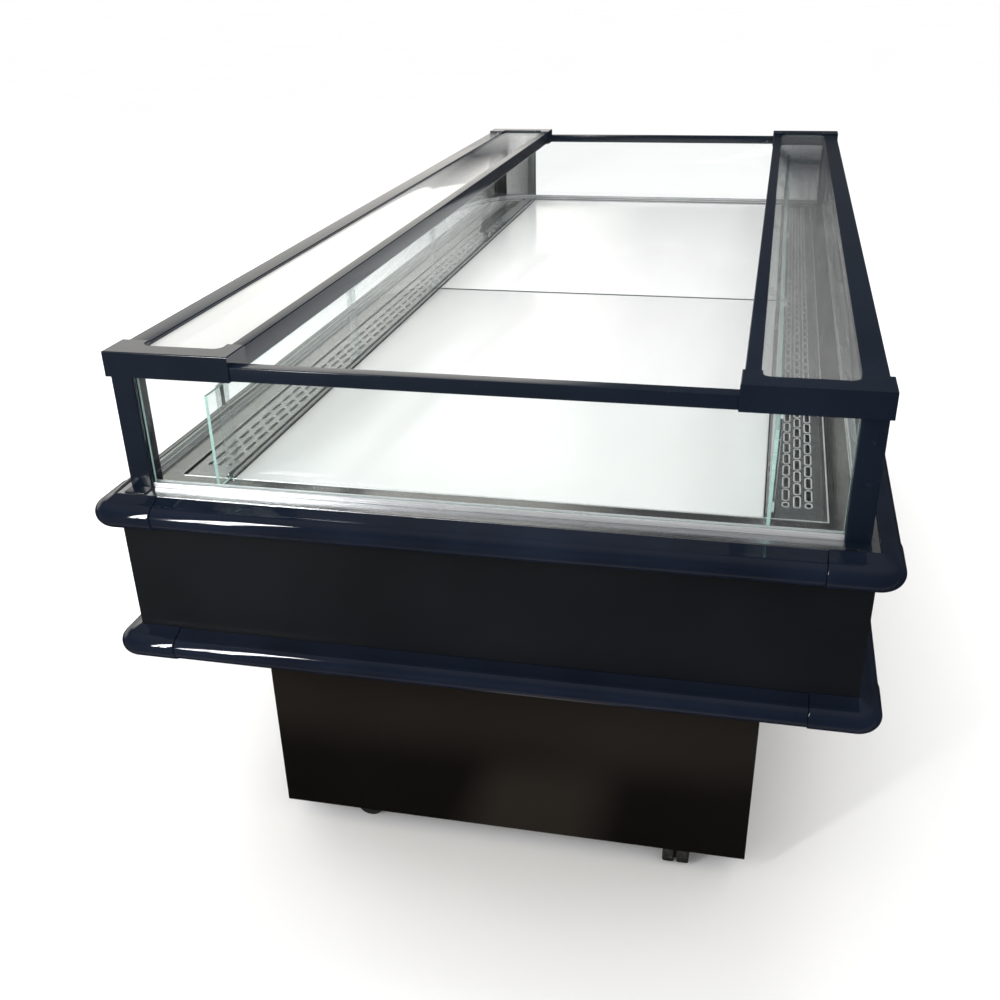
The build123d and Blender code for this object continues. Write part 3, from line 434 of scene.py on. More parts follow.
def ledge_steel():
    """Stainless rim sheet: brushed at the ends, dimpled with a fine cast texture along the sides."""
    f = Finish("ledge_steel")
    line = along_sheet(f, 420.0, 4.0)
    fade_low, fade_high = (float(BAND_X - inset) for inset in CAST_EDGE)
    at_side = f.range(abs(f.axis("X")), fade_low, fade_high)
    pit = f.range(f.cells(260.0), 0.1, 0.6)
    cloud = f.noise(6.0, 4.0)
    tone = f.blend(cloud, (0.46, 0.47, 0.48), (0.66, 0.67, 0.68))
    tone = f.blend(pit * at_side * 0.45, tone, (0.88, 0.88, 0.88))
    rough = f.range(line, 0.3, 0.7, 0.16, 0.34) + at_side * 0.10
    fine = f.bump(line, 0.10, 0.0002)
    return f.surface(tone, rough, 1.0, f.bump(pit * at_side, 0.6, 0.0006, fine))


def band_steel():
    """Mirror-like stainless with long drawn streaks, darker than the ledge."""
    f = Finish("band_steel")
    streak = along_sheet(f, 340.0, 5.0)
    ripple = f.noise(14.0, 2.0)
    tone = f.blend(f.range(streak, 0.3, 0.7), (0.30, 0.305, 0.31), (0.42, 0.42, 0.415))
    normal = f.bump(ripple, 0.12, 0.004, f.bump(streak, 0.05, 0.0002))
    return f.surface(tone, f.range(streak, 0.3, 0.7, 0.10, 0.20), 0.92, normal)


def channel_metal():
    """Bright extruded aluminium of the glazing channels."""
    f = Finish("channel_metal")
    line = along_sheet(f, 300.0, 3.0)
    tone = f.blend(line, (0.66, 0.67, 0.68), (0.84, 0.85, 0.86))
    return f.surface(tone, f.range(line, 0.3, 0.7, 0.20, 0.34), 0.55, f.bump(line, 0.08, 0.0002))


def frame_steel():
    """Stainless deck frame with cross-grain brushing."""
    return grained("frame_steel_bright", (260.0, 4.0), (0.50, 0.51, 0.52), (0.60, 0.61, 0.62), (0.22, 0.34),
                   (0.05, 0.0002), 0.85, (1, 0.02, 1))


def deck_enamel():
    """Gloss white enamel: slight waviness, faint wiping marks, painted reflection streaks, a trace of dust.
    """
    f = Finish("deck_enamel")
    base = tuple(colours().deck)
    wave = f.noise(1.6, 1.5)
    wipe_and_reflection_streak = f.noise(5.0, 6.0, stretch=(2.2, 0.35, 1), rough=0.65)
    speck = f.range(f.cells(46.0), 0.02, 0.05, 1.0, 0.0) * f.range(f.noise(9.0), 0.55, 0.7)
    # Painted reflection: the streaks darken the white into faint grey bands.
    tone = f.blend(f.range(wipe_and_reflection_streak, 0.35, 0.75), base, shade(base, 0.94))
    tone = f.blend(speck * 0.25, tone, (0.35, 0.33, 0.30))
    return f.surface(tone, f.range(wipe_and_reflection_streak, 0.3, 0.8, 0.08, 0.19),
                     normal=f.bump(wave, 0.05, 0.004), Specular_IOR_Level=0.5)


def grille_metal():
    """Satin stainless press work with grain along its length and slight heat tint."""
    f = Finish("grille_metal")
    line = f.noise(380.0, 4.0, stretch=(1, 0.02, 1))
    cloud = f.noise(5.0, 3.0)
    tone = f.blend(f.range(cloud, 0.3, 0.7), (0.46, 0.47, 0.48), (0.56, 0.57, 0.58))
    return f.surface(tone, f.range(line, 0.3, 0.7, 0.16, 0.26), 0.92, f.bump(line, 0.04, 0.0002))


def rim_metal():
    """Bright burnished rim that punching leaves round each slot. On the band's beads this pale tone
    is partly a painted highlight.
    """
    return grained("rim_metal", (40.0, 3.0), (0.80, 0.81, 0.82), (0.95, 0.95, 0.95), (0.28, 0.42),
                   (0.1, 0.0003), 0.55)


def joint_rubber():
    """Grey-green lip seal with a dull, slightly chalky skin."""
    return grained("joint_rubber", (500.0, 3.0), (0.10, 0.12, 0.115), (0.17, 0.19, 0.185), (0.45, 0.6),
                   (0.15, 0.0002))


def liner_enamel():
    """White coated liner sheet with a leathery emboss."""
    f = Finish("liner_enamel")
    cell = f.cells(420.0)
    tone = f.blend(f.noise(3.0, 4.0), (0.70, 0.71, 0.70), (0.80, 0.80, 0.79))
    return f.surface(tone, f.range(cell, 0.0, 0.5, 0.30, 0.42), normal=f.bump(cell, 0.25, 0.0004))


def foam_core():
    """Rigid pale yellow foam with closed cells."""
    f = Finish("foam_core")
    cell = f.cells(700.0)
    tone = f.blend(f.range(cell, 0.0, 0.6), (0.62, 0.52, 0.30), (0.78, 0.70, 0.48))
    return f.surface(tone, f.range(cell, 0.0, 0.6, 0.8, 0.95), normal=f.bump(cell, 0.5, 0.0008))


def base_enamel():
    """Black chassis paint over welded channel."""
    f = Finish("base_enamel")
    cloud = f.noise(12.0, 5.0)
    tone = f.blend(f.range(cloud, 0.4, 0.7), (0.018, 0.018, 0.020), (0.035, 0.034, 0.034))
    return f.surface(tone, f.range(cloud, 0.3, 0.7, 0.35, 0.5), normal=f.bump(f.noise(300.0), 0.2, 0.0004))


def zinc_plate():
    """Zinc-coated steel with crystal spangle."""
    f = Finish("zinc_plate")
    grey = f.add("RGBToBW", {0: f.cells(70.0, out=1)})
    tone = f.blend(grey, (0.40, 0.41, 0.42), (0.66, 0.67, 0.68))
    return f.surface(tone, f.range(grey, 0.0, 1.0, 0.30, 0.5), 1.0, f.bump(f.noise(200.0, 3.0), 0.08, 0.0003))


def castor_nylon():
    """Black moulded nylon with a spark-eroded texture."""
    return grained("castor_nylon", (1200.0, 2.0), (0.010, 0.010, 0.010), (0.022, 0.022, 0.022), (0.32, 0.48),
                   (0.35, 0.0003))


def castor_tread():
    """Dark grey tread, scuffed and dusty where it rolls."""
    f = Finish("castor_tread")
    scuff = f.noise(160.0, 5.0, rough=0.7)
    tone = f.blend(f.range(scuff, 0.5, 0.8), (0.012, 0.012, 0.012), (0.09, 0.085, 0.08))
    return f.surface(tone, f.range(scuff, 0.3, 0.8, 0.5, 0.75), normal=f.bump(scuff, 0.3, 0.0006))


def coil_fins():
    """Thin aluminium fins with light handling marks."""
    f = Finish("coil_fins")
    mark = f.noise(50.0, 5.0, rough=0.7)
    tone = f.blend(f.range(mark, 0.4, 0.8), (0.72, 0.73, 0.74), (0.52, 0.53, 0.54))
    return f.surface(tone, f.range(mark, 0.3, 0.8, 0.25, 0.45), 1.0, f.bump(mark, 0.15, 0.0006))


def fan_moulding():
    """Black moulded fan plastic."""
    return grained("fan_moulding", (800.0, 2.0), (0.014, 0.014, 0.016), (0.030, 0.030, 0.033), (0.30, 0.45),
                   (0.2, 0.0003))


def drain_plastic():
    """Grey-white extruded pipe."""
    return grained("drain_plastic", (60.0, 3.0), (0.60, 0.60, 0.58), (0.72, 0.72, 0.70), (0.3, 0.42),
                   (0.08, 0.0005), stretch=(1, 1, 0.05))


def compressor_enamel():
    """Thick black enamel with runs and orange peel."""
    f = Finish("compressor_enamel")
    peel = f.noise(120.0, 2.0)
    tone = f.blend(f.noise(8.0, 4.0), (0.010, 0.010, 0.011), (0.022, 0.022, 0.024))
    return f.surface(tone, f.range(peel, 0.3, 0.7, 0.16, 0.28), normal=f.bump(peel, 0.25, 0.0008))


def control_plastic():
    """Black moulded housing with a fine even texture."""
    return grained("control_plastic", (1600.0, 1.0), (0.012, 0.012, 0.014), (0.026, 0.026, 0.029),
                   (0.22, 0.34), (0.2, 0.0002))


def key_plastic():
    """Grey rubber-touch keys."""
    return grained("key_plastic", (1400.0, 1.0), (0.34, 0.35, 0.37), (0.44, 0.45, 0.47), (0.45, 0.6),
                   (0.2, 0.0002))


def floor_paint():
    """Plain pale studio floor. Mirrored rays see a dim room's floor: a warm strip lies across it between 1.26
    and 1.66 m in front of the cabinet's middle, with a patch near the centre and a faint glow to the left."""
    f = Finish("floor_paint")
    cloud = f.noise(0.8, 3.0)
    tone = f.blend(cloud, (0.82, 0.82, 0.82), (0.84, 0.84, 0.84))
    pale = f.add("BsdfDiffuse", {"Color": tone})
    east, south = f.axis("X"), 0.0 - f.axis("Y")
    glow = f.range(south, 1.26, 1.38) * f.range(south, 1.66, 1.46)
    patch = f.range(south, 1.02, 1.10) * f.range(abs(east - 0.03), 0.16, 0.07) * f.range(south, 1.34, 1.24)
    left = f.range(east, 0.4, -0.7, 0.0, 0.09) * f.range(south, 1.6, 2.0)
    lit = f.range(f.noise(1.4, 2.0), 0.3, 0.7, 0.7, 1.2) * (glow * 0.26 + patch * 0.34 + left + 0.016)
    dim = f.add("Emission", {"Color": f.blend(lit, (0.0, 0.0, 0.0), (1.0, 0.84, 0.66)), "Strength": 1.0})
    return f.close(f.add("MixShader", {0: f.add("LightPath", out=3), 1: pale, 2: dim}))


MAKERS = {maker.__name__: maker for maker in (
    frame_paint, bumper_plastic, tub_paint, skirt_paint, pane_face, painted_reflection_face, dusty_face, acrylic_face,
    acrylic_edge, pane_edge, ledge_steel, band_steel, channel_metal, frame_steel, deck_enamel, grille_metal,
    rim_metal, joint_rubber, liner_enamel, foam_core, base_enamel, zinc_plate, castor_nylon, castor_tread,
    coil_fins, fan_moulding, drain_plastic, compressor_enamel, control_plastic, key_plastic, floor_paint)}


# ------------------------------------------------------------------ surface tools
class Shell:
    """Closed surfaces gathered into one mesh. Each is a stack of rings of points."""

    def __init__(self):
        self.points = []
        self.faces = []
        self.total = 0

    def add(self, rings, looped=False):
        """Joins ring i to ring i + 1 by quads. Unlooped stacks are shut by their first and last ring.
        A stack whose enclosed volume comes out negative is turned round, so its faces point outwards."""
        rings = np.asarray(rings, float)
        if ring_volume(rings, looped) < 0:
            rings = rings[:, ::-1]
        rows, columns = rings.shape[:2]
        here = np.arange(rows if looped else rows - 1)[:, None] * columns
        there = (here + columns) % (rows * columns)
        side = np.arange(columns)[None, :]
        turn = (side + 1) % columns
        quads = np.stack([here + side, here + turn, there + turn, there + side], -1).reshape(-1, 4)
        self.faces += (quads + self.total).tolist()
        if not looped:
            first = np.arange(columns)[::-1] + self.total
            last = np.arange(columns) + (rows - 1) * columns + self.total
            self.faces += [first.tolist(), last.tolist()]
        self.points.append(rings.reshape(-1, 3))
        self.total += rows * columns
        return self

    def both_sides(self, rings, axis, looped=False):
        """Adds a stack and its mirror image across the middle of the cabinet."""
        image = np.array(rings, float)
        image[..., axis] *= -1
        return self.add(rings, looped).add(image, looped)

    def four_corners(self, rings, looped=False):
        """Adds a stack at every corner of the cabinet."""
        image = np.array(rings, float)
        image[..., 0] *= -1
        return self.both_sides(rings, 1, looped).both_sides(image, 1, looped)

    def piece(self, name, body, slot, finishes, replaces=(), pick=None):
        """Makes the mesh an object of its own that rides on a body and takes the listed finishes. The slot is
        not used.
        """
        mesh = bpy.data.meshes.new(name)
        mesh.from_pydata(np.concatenate(self.points).tolist(), [], self.faces)
        mesh.polygons.foreach_set("use_smooth", np.ones(len(mesh.polygons), bool))
        mesh.update()
        mesh.set_sharp_from_angle(angle=SHARP_ANGLE)
        for label in finishes:
            mesh.materials.append(finish(label))
        if pick is not None:
            normals = np.zeros(len(mesh.polygons) * 3, np.float32)
            mesh.polygons.foreach_get("normal", normals)
            mesh.polygons.foreach_set("material_index", pick(normals.reshape(-1, 3)).astype(np.int32))
        if mesh.validate():
            raise RuntimeError(f"{name} has broken faces")
        made = bpy.data.objects.new(name, mesh)
        bpy.context.scene.collection.objects.link(made)
        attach(made, body)
        if replaces:
            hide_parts(*replaces)
        return made


def ring_volume(rings, looped):
    """Six times the volume enclosed by a stack of rings, from the triple products of its triangles."""
    middle = rings.reshape(-1, 3).mean(0)
    rings = rings - middle
    lower = rings if looped else rings[:-1]
    upper = np.roll(rings, -1, 0) if looped else rings[1:]
    a, b = lower, np.roll(lower, -1, 1)
    c, d = np.roll(upper, -1, 1), upper
    total = (np.cross(a, b) * c).sum() + (np.cross(a, c) * d).sum()
    if not looped:
        first, last = rings[0][::-1], rings[-1]
        total += (np.cross(first, np.roll(first, -1, 0)) @ first.mean(0)).sum()
        total += (np.cross(last, np.roll(last, -1, 0)) @ last.mean(0)).sum()
    return total


def eased_outline(corners, radii, steps=ROUND_STEPS):
    """A polygon with each corner turned into an arc tangent to its two edges. The arc's centre lies on the
    corner's bisector at radius / sin(half angle), and points are spread evenly over its turn."""
    corners = np.asarray(corners, float)
    radii = np.broadcast_to(np.asarray(radii, float), len(corners))[:, None]
    back = np.roll(corners, 1, 0) - corners
    ahead = np.roll(corners, -1, 0) - corners
    back /= np.linalg.norm(back, axis=1, keepdims=True)
    ahead /= np.linalg.norm(ahead, axis=1, keepdims=True)
    half = np.arccos(np.clip((back * ahead).sum(1, keepdims=True), -1, 1)) / 2
    bisector = back + ahead
    bisector /= np.linalg.norm(bisector, axis=1, keepdims=True)
    centre = corners + bisector * radii / np.sin(half)
    start = corners + back * radii / np.tan(half) - centre
    end = corners + ahead * radii / np.tan(half) - centre
    turn = (np.pi - 2 * half)[:, None]
    share = np.linspace(0, 1, steps + 1)[None, :, None]
    arc = (np.sin((1 - share) * turn) * start[:, None] + np.sin(share * turn) * end[:, None]) / np.sin(turn)
    return (centre[:, None] + arc).reshape(-1, 2)


def oriented(rings, axis):
    """Turns rings stacked along Z so that they are stacked along the named axis."""
    return np.roll(rings, {"X": 1, "Y": 2, "Z": 0}[axis], -1)


def stacked(low, high, corner, insets, levels, steps=ROUND_STEPS):
    """Rounded rectangles, one above another: each is pulled in by its inset and lies at its level. A point is
    its corner's arc centre plus (corner radius - inset) along the arc's direction."""
    low, high = np.asarray(low, float), np.asarray(high, float)
    centres = (low + high) / 2 + CORNER_SIGNS * ((high - low) / 2 - corner)
    angles = np.linspace(0, np.pi / 2, steps + 1)[None, :] + np.arange(4)[:, None] * np.pi / 2
    turn = np.stack([np.cos(angles), np.sin(angles)], -1)
    reach = corner - np.asarray(insets, float)
    flat = centres[None, :, None] + reach[:, None, None, None] * turn[None]
    flat = flat.reshape(len(reach), -1, 2)
    level = np.broadcast_to(np.asarray(levels, float)[:, None, None], flat.shape[:2] + (1,))
    return np.concatenate([flat, level], -1)


def eased_block(low, high, edge, corner=None, axis="Z", steps=ROUND_STEPS):
    """A block whose edges are all rounded: rounded rectangles stacked along an axis, pulled in at both ends
    by a quarter circle. The corner's radius is just more than the edge's, so no ring shrinks to a point."""
    order = np.roll(np.arange(3), -{"X": 1, "Y": 2, "Z": 0}[axis])
    low, high = np.asarray(low, float)[order], np.asarray(high, float)[order]
    corner = max(edge, corner or edge) * JUST_MORE
    sweep = np.linspace(0, np.pi / 2, steps + 1)
    inset = edge * (1 - np.sin(sweep))
    rise = edge * (1 - np.cos(sweep))
    insets = np.concatenate([inset, inset[::-1]])
    levels = np.concatenate([low[2] + rise, high[2] - rise[::-1]])
    return oriented(stacked(low[:2], high[:2], corner, insets, levels, steps), axis)


def carried(profiles, origins, outward):
    """A profile carried along a path: each point is the station's origin, plus its first coordinate along the
    station's outward direction and its second coordinate upwards."""
    origins, outward = np.asarray(origins, float), np.asarray(outward, float)
    profiles = np.broadcast_to(profiles, (len(origins),) + np.shape(profiles)[-2:])
    return (origins[:, None] + profiles[..., :1] * outward[:, None]
            + profiles[..., 1:] * np.array([0.0, 0.0, 1.0]))


def framed(half_x, half_y, levels):
    """A profile carried round the cabinet with mitred corners: points keep their half widths on X and Y."""
    flat = CORNER_SIGNS[:, None] * np.stack([half_x, half_y], -1)[None]
    level = np.broadcast_to(np.asarray(levels, float)[None, :, None], flat.shape[:2] + (1,))
    return np.concatenate([flat, level], -1)


def dress(node, label):
    """Gives a frame node a finish."""
    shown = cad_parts[node]
    shown.data.materials.clear()
    shown.data.materials.append(finish(label))


# ------------------------------------------------------------------ pieces
def bumper_section(sizes, swell):
    """Outline of a bumper from its back face: a falling top face and a half-round nose, creases eased."""
    high = sizes.height / 2 + swell
    shoulder = high - sizes.slope_drop
    nose = (shoulder + high) / 2
    angles = np.linspace(np.pi / 2, -np.pi / 2, NOSE_POINTS)
    centre = np.array([sizes.slope_run, shoulder - nose])
    round_nose = centre + nose * np.stack([np.cos(angles), np.sin(angles)], -1)
    crown = eased_outline([(0, -high), (0, high), (sizes.slope_run, shoulder), (sizes.slope_run, -high)],
                          sizes.crease)
    upper = crown[ROUND_STEPS + 1:2 * (ROUND_STEPS + 1)]
    lower = crown[:ROUND_STEPS + 1]
    return np.concatenate([lower, upper, round_nose])


class FREEZER_OT_bumpers(bpy.types.Operator):
    """Straight bumper rails and the fatter corner pieces, at the top and bottom of the tub"""
    bl_idname = "freezer.bumpers"
    bl_label = "Bumpers"

    def execute(self, context):
        sizes = context.scene.freezer_bumpers
        rails, turns = Shell(), Shell()
        section = bumper_section(sizes, 0.0)
        reach = sizes.corner_arm + sizes.joint_gap
        for level in (LEDGE_Z - sizes.height / 2, TUB_Z + sizes.height / 2):
            ends = [(-(PANEL_X - reach), PANEL_Y, level), (PANEL_X - reach, PANEL_Y, level)]
            rails.both_sides(carried(section, ends, [(0, 1, 0)] * 2), 1)
            ends = [(PANEL_X, -(PANEL_Y - reach), level), (PANEL_X, PANEL_Y - reach, level)]
            rails.both_sides(carried(section, ends, [(1, 0, 0)] * 2), 0)
            turns.four_corners(self.corner(sizes, level))
        rails.piece("bumper_rail_set", "cabinet", "bumper_plastic", ["bumper_plastic"], ["bumper_rails"])
        turns.piece("bumper_corner_set", "cabinet", "bumper_plastic", ["bumper_plastic"], ["bumper_corners"])
        return {"FINISHED"}

    def corner(self, sizes, level):
        """Stations of a corner piece: along one arm, a quarter turn about the tub's corner, back along the
        other arm. Both ends are rounded by shrinking the section by half of the ease over its length."""
        ease = sizes.corner_ease
        sweep = np.linspace(0, np.pi / 2, LIP_POINTS)
        run = np.concatenate([ease * (1 - np.cos(sweep)), [sizes.corner_arm]])
        swell = np.concatenate([(np.sin(sweep) - 1) * ease / 2, [0.0]]) + sizes.corner_swell
        angles = np.linspace(0, np.pi / 2, TURN_POINTS)[1:-1]
        start = [(PANEL_X, PANEL_Y - sizes.corner_arm + step, level) for step in run]
        end = [(PANEL_X - sizes.corner_arm + step, PANEL_Y, level) for step in run[::-1]]
        origins = start + [(PANEL_X, PANEL_Y, level)] * len(angles) + end
        outward = [(1, 0, 0)] * len(run) + [(math.cos(a), math.sin(a), 0) for a in angles]
        outward += [(0, 1, 0)] * len(run)
        swells = np.concatenate([swell, np.full(len(angles), sizes.corner_swell), swell[::-1]])
        return carried(np.stack([bumper_section(sizes, each) for each in swells]), origins, outward)


class FREEZER_OT_surround_frame(bpy.types.Operator):
    """Corner caps, posts with their feet, and the top rails"""
    bl_idname = "freezer.surround_frame"
    bl_label = "Surround frame"

    def execute(self, context):
        sizes = context.scene.freezer_surround
        posts = Shell()
        outer_x, foot_y, _ = corners_of("corner_posts")[1]
        inner_x, tube_y = outer_x - sizes.post_size, CAP_Y - sizes.cap_cover
        posts.four_corners(eased_block((inner_x, tube_y - sizes.post_size, LEDGE_Z),
                                       (outer_x, tube_y, CAP_Z + sizes.post_lap), sizes.post_end,
                                       sizes.post_radius))
        posts.four_corners(eased_block((inner_x, tube_y - sizes.post_lap, LEDGE_Z),
                                       (outer_x, foot_y, LEDGE_Z + sizes.foot_sheet), sizes.foot_end,
                                       sizes.post_radius))
        posts.piece("corner_post_set", "cabinet", "navy_paint", ["frame_paint"], ["corner_posts"])
        self.rails("end_rails", sizes.end_rail, 1, sizes.rail_radius)
        self.rails("outer_rails", sizes.outer_rail, 0, sizes.rail_radius)
        self.rails("inner_rails", sizes.inner_rail, 0, sizes.rail_radius)
        dress("corner_caps", "frame_paint")
        return {"FINISHED"}

    def rails(self, node, depth, axis, radius):
        """A pair of rails, each a rounded block that lies along one side of the node's box. The axis is the
        one that its depth is measured on."""
        low, high = corners_of(node)
        low[axis] = high[axis] - depth
        shell = Shell().both_sides(eased_block(low, high, radius, axis="YX"[axis]), axis)
        shell.piece(f"{node[:-1]}_pair", "cabinet", "navy_paint", ["frame_paint"], [node])


# The left canopy's pale cream cover is a painted reflection.
CANOPY_FACES = {"left": "painted_reflection_face", "right": "dusty_face"}


class FREEZER_OT_panes(bpy.types.Operator):
    """All glass panes, with a clear face finish and a green polished edge finish"""
    bl_idname = "freezer.panes"
    bl_label = "Panes"

    def execute(self, context):
        sizes = context.scene.freezer_surround
        arris = sizes.pane_arris
        low, high = corners_of("end_glass")
        low[1] = high[1] - sizes.end_pane
        ends = Shell().both_sides(eased_block(low, high, arris, axis="Y", steps=2), 1)
        self.pane(ends, "end_pane_pair", "end_glass", 1)
        for side in ("left", "right"):
            for kind, thin in (("side", 0), ("canopy", 2), ("riser", 0)):
                low, high = corners_of(f"{kind}_glass_{side}")
                shell = Shell().add(eased_block(low, high, arris, axis="XYZ"[thin], steps=2))
                face = CANOPY_FACES[side] if kind == "canopy" else "pane_face"
                self.pane(shell, f"{kind}_pane_{side}", f"{kind}_glass_{side}", thin, face)
        self.gussets(arris, sizes.inner_rail)
        return {"FINISHED"}

    def gussets(self, arris, rail_depth):
        """Clear plates that join the risers to the inner rails: each outline is carried over its thickness,
        and a strap runs down the back of the riser."""
        sizes = bpy.context.scene.freezer_gussets
        rail_low, rail_high = corners_of("inner_rails")
        riser_low, riser_high = corners_of("riser_glass_right")
        inner, back, top = rail_high[0] - rail_depth, riser_high[0] + sizes.glass_gap, riser_high[2]
        outer = back + sizes.sheet
        outline = eased_outline([(inner, rail_low[2]), (rail_high[0], rail_low[2]),
                                 (outer, top + sizes.sheet), (outer, top - sizes.foot),
                                 (back, top - sizes.foot), (back, top + sizes.glass_gap),
                                 (riser_low[0] - sizes.sheet, top + sizes.glass_gap)], arris, 2)
        reach = rail_high[1] - sizes.end_gap
        low_z = corners_of("glass_brackets")[0][2]
        shell = Shell()
        for place in np.linspace(-reach, reach, sizes.count):
            ends = [(0, place - sizes.sheet / 2, 0), (0, place + sizes.sheet / 2, 0)]
            shell.both_sides(carried(outline, ends, [(1, 0, 0)] * 2), 0)
            strap = eased_block((back, place - sizes.foot / 2, low_z), (outer, place + sizes.foot / 2, top),
                                arris, axis="X", steps=2)
            shell.both_sides(strap, 0)
        shell.piece("glass_gussets", "cabinet", "clear_acrylic", ["acrylic_face", "acrylic_edge"],
                    ["glass_brackets"],
                    pick=lambda normals: (np.abs(normals[:, 1]) < 0.9) & (np.abs(normals[:, 0]) < 0.95))

    def pane(self, shell, name, node, thin, face="pane_face"):
        """A pane whose faces across its thin axis are clear and whose other faces are edge finish."""
        shell.piece(name, "cabinet", "clear_glass", [face, "pane_edge"], [node],
                    pick=lambda normals: np.abs(normals[:, thin]) < 0.9)


class FREEZER_OT_ledge(bpy.types.Operator):
    """Rim ledge with its rolled outer edge, the bright inner band and the glazing channels"""
    bl_idname = "freezer.ledge"
    bl_label = "Ledge"

    def execute(self, context):
        sizes = context.scene.freezer_ledge
        under = LEDGE_Z - sizes.sheet
        outline = eased_outline([(0, under), (1, under), (1, LEDGE_Z), (0, LEDGE_Z)], sizes.crease)
        share, level = outline[:, 0], outline[:, 1]
        roll = np.where(level > LEDGE_Z - sizes.sheet / 2, sizes.roll, 0.0) * (share > 0.5)
        half_x = BAND_X + share * (PANEL_X - BAND_X) - roll
        half_y = BAND_Y + share * (PANEL_Y - BAND_Y) - roll
        ledge = Shell().add(framed(half_x, half_y, level), looped=True)
        ledge.piece("rim_ledge_sheet", "cabinet", "ledge_steel", ["ledge_steel"], ["rim_ledge"])
        dress("inner_band", "band_steel")
        self.channels(context.scene.freezer_surround)
        self.beads(sizes)
        return {"FINISHED"}

    def beads(self, sizes):
        """Two bright rolled beads right round the opening, at the band's inner lip and at its outer edge: a
        circle carried round the cabinet with mitred corners. Their brightness comes partly from their rounded
        shape in the light and partly from their pale finish, a painted highlight."""
        turn = np.linspace(0, 2 * np.pi, 9)[:-1]
        inset = sizes.lip_offset - sizes.band_width
        shell = Shell()
        for half_x, half_y, radius in ((BAND_X + inset, BAND_Y + inset, sizes.lip_bead),
                                       (BAND_X - sizes.edge_offset, BAND_Y, sizes.edge_bead)):
            around = radius * np.cos(turn)
            shell.add(framed(half_x + around, half_y + around, LEDGE_Z + radius * np.sin(turn)), looped=True)
        shell.piece("band_beads", "cabinet", "band_steel", ["rim_metal"])

    def channels(self, sizes):
        """U sections with eased edges that run between the posts under the outer panes."""
        low, high = corners_of("glazing_channels")
        half, wall, top = sizes.channel_width / 2, sizes.channel_wall, high[2] - low[2]
        section = eased_outline([(-half, 0), (half, 0), (half, top), (half - wall, top), (half - wall, wall),
                                 (-half + wall, wall), (-half + wall, top), (-half, top)],
                                sizes.channel_crease, 3)
        reach_x = corners_of("corner_posts")[1][0] - sizes.post_size
        reach_y = CAP_Y - sizes.cap_cover - sizes.post_size
        shell = Shell()
        line = high[1] - half
        ends = [(-reach_x, line, low[2]), (reach_x, line, low[2])]
        shell.both_sides(carried(section, ends, [(0, 1, 0)] * 2), 1)
        line = high[0] - half
        ends = [(line, -reach_y, low[2]), (line, reach_y, low[2])]
        shell.both_sides(carried(section, ends, [(1, 0, 0)] * 2), 0)
        shell.piece("glazing_channel_set", "cabinet", "band_steel", ["channel_metal"], ["glazing_channels"])


class FREEZER_OT_deck(bpy.types.Operator):
    """Two white deck panels with folded edges, the seal along their joint, and the frame that carries them"""
    bl_idname = "freezer.deck"
    bl_label = "Deck"

    def execute(self, context):
        sizes = context.scene.freezer_deck
        fold, sheet = sizes.fold, sizes.sheet
        sweep = np.linspace(0, np.pi / 2, 7)
        for end in ("near", "far"):
            low, high = corners_of(f"deck_{end}")
            insets = np.concatenate([fold * (1 - np.sin(sweep)), [0.0, sheet, sheet]])
            levels = np.concatenate([high[2] - fold * (1 - np.cos(sweep)),
                                     [low[2], low[2], high[2] - 2 * sheet]])
            rings = stacked(low[:2], high[:2], fold * 1.2, insets, levels)
            Shell().add(rings).piece(f"deck_panel_{end}", f"deck_{end}", "deck_white", ["deck_enamel"],
                                     [f"deck_{end}"])
        dress("deck_frame", "frame_steel")
        low, high = corners_of("deck_far")
        strip = eased_block((low[0], low[1] - sizes.seal_near, high[2] - sizes.seal_bed),
                            (high[0], low[1] + sizes.seal_far, high[2] + sizes.seal_rise), sizes.seal_edge,
                            axis="X", steps=3)
        Shell().add(strip).piece("deck_joint_seal", "deck_far", "deck_white", ["joint_rubber"])
        return {"FINISHED"}


class FREEZER_OT_grilles(bpy.types.Operator):
    """Slotted air grilles with a burnished rim round each slot"""
    bl_idname = "freezer.grilles"
    bl_label = "Grilles"

    def execute(self, context):
        sizes = context.scene.freezer_deck
        low, high = corners_of("grille_right")
        across = low[0] + sizes.row_inset + np.arange(sizes.rows) * sizes.row_pitch
        full = self.rim(sizes, sizes.slot_length)
        short = self.rim(sizes, sizes.end_slot_length)
        rims = []
        for row, place in enumerate(across):
            count = sizes.row_slots - (row + 1) % 2
            along = (np.arange(count) - (count - 1) / 2) * sizes.slot_pitch
            rims += [full + (place, each, high[2]) for each in along]
            if count < sizes.row_slots:
                end = along[-1] + sizes.slot_pitch - (sizes.slot_length - sizes.end_slot_length) / 2
                rims += [short + (place, each, high[2]) for each in (-end, end)]
        for side, sign in (("right", 1), ("left", -1)):
            shell = Shell()
            for rim in rims:
                shell.add(rim * (sign, 1, 1), looped=True)
            shell.piece(f"grille_slot_rims_{side}", f"grille_{side}", "grille_steel", ["rim_metal"])
            dress(f"grille_{side}", "grille_metal")
        return {"FINISHED"}

    def rim(self, sizes, length):
        """A round bead carried round a slot: two half circles joined by straight sides."""
        radius = sizes.slot_width / 2
        straight = (length - sizes.slot_width) / 2
        half_turn = np.linspace(0, np.pi, SLOT_END_POINTS)
        angles = np.concatenate([half_turn, half_turn + np.pi])
        outward = np.stack([np.cos(angles), np.sin(angles), np.zeros(len(angles))], -1)
        origins = np.zeros_like(outward)
        origins[:, 1] = np.repeat([straight, -straight], SLOT_END_POINTS)
        bead = np.linspace(0, 2 * np.pi, 6)[:-1]
        profile = np.stack([radius + sizes.rim * np.cos(bead), sizes.rim * np.sin(bead) * 0.8], -1)
        return carried(profile, origins, outward)


class Dressing:
    """Part of an operator whose nodes keep their shape and take a finish, each finish with its nodes."""
    finishes = {}

    def execute(self, context):
        for label, nodes in self.finishes.items():
            for node in nodes:
                dress(node, label)
        return {"FINISHED"}


SIDES = ("near", "far", "left", "right")


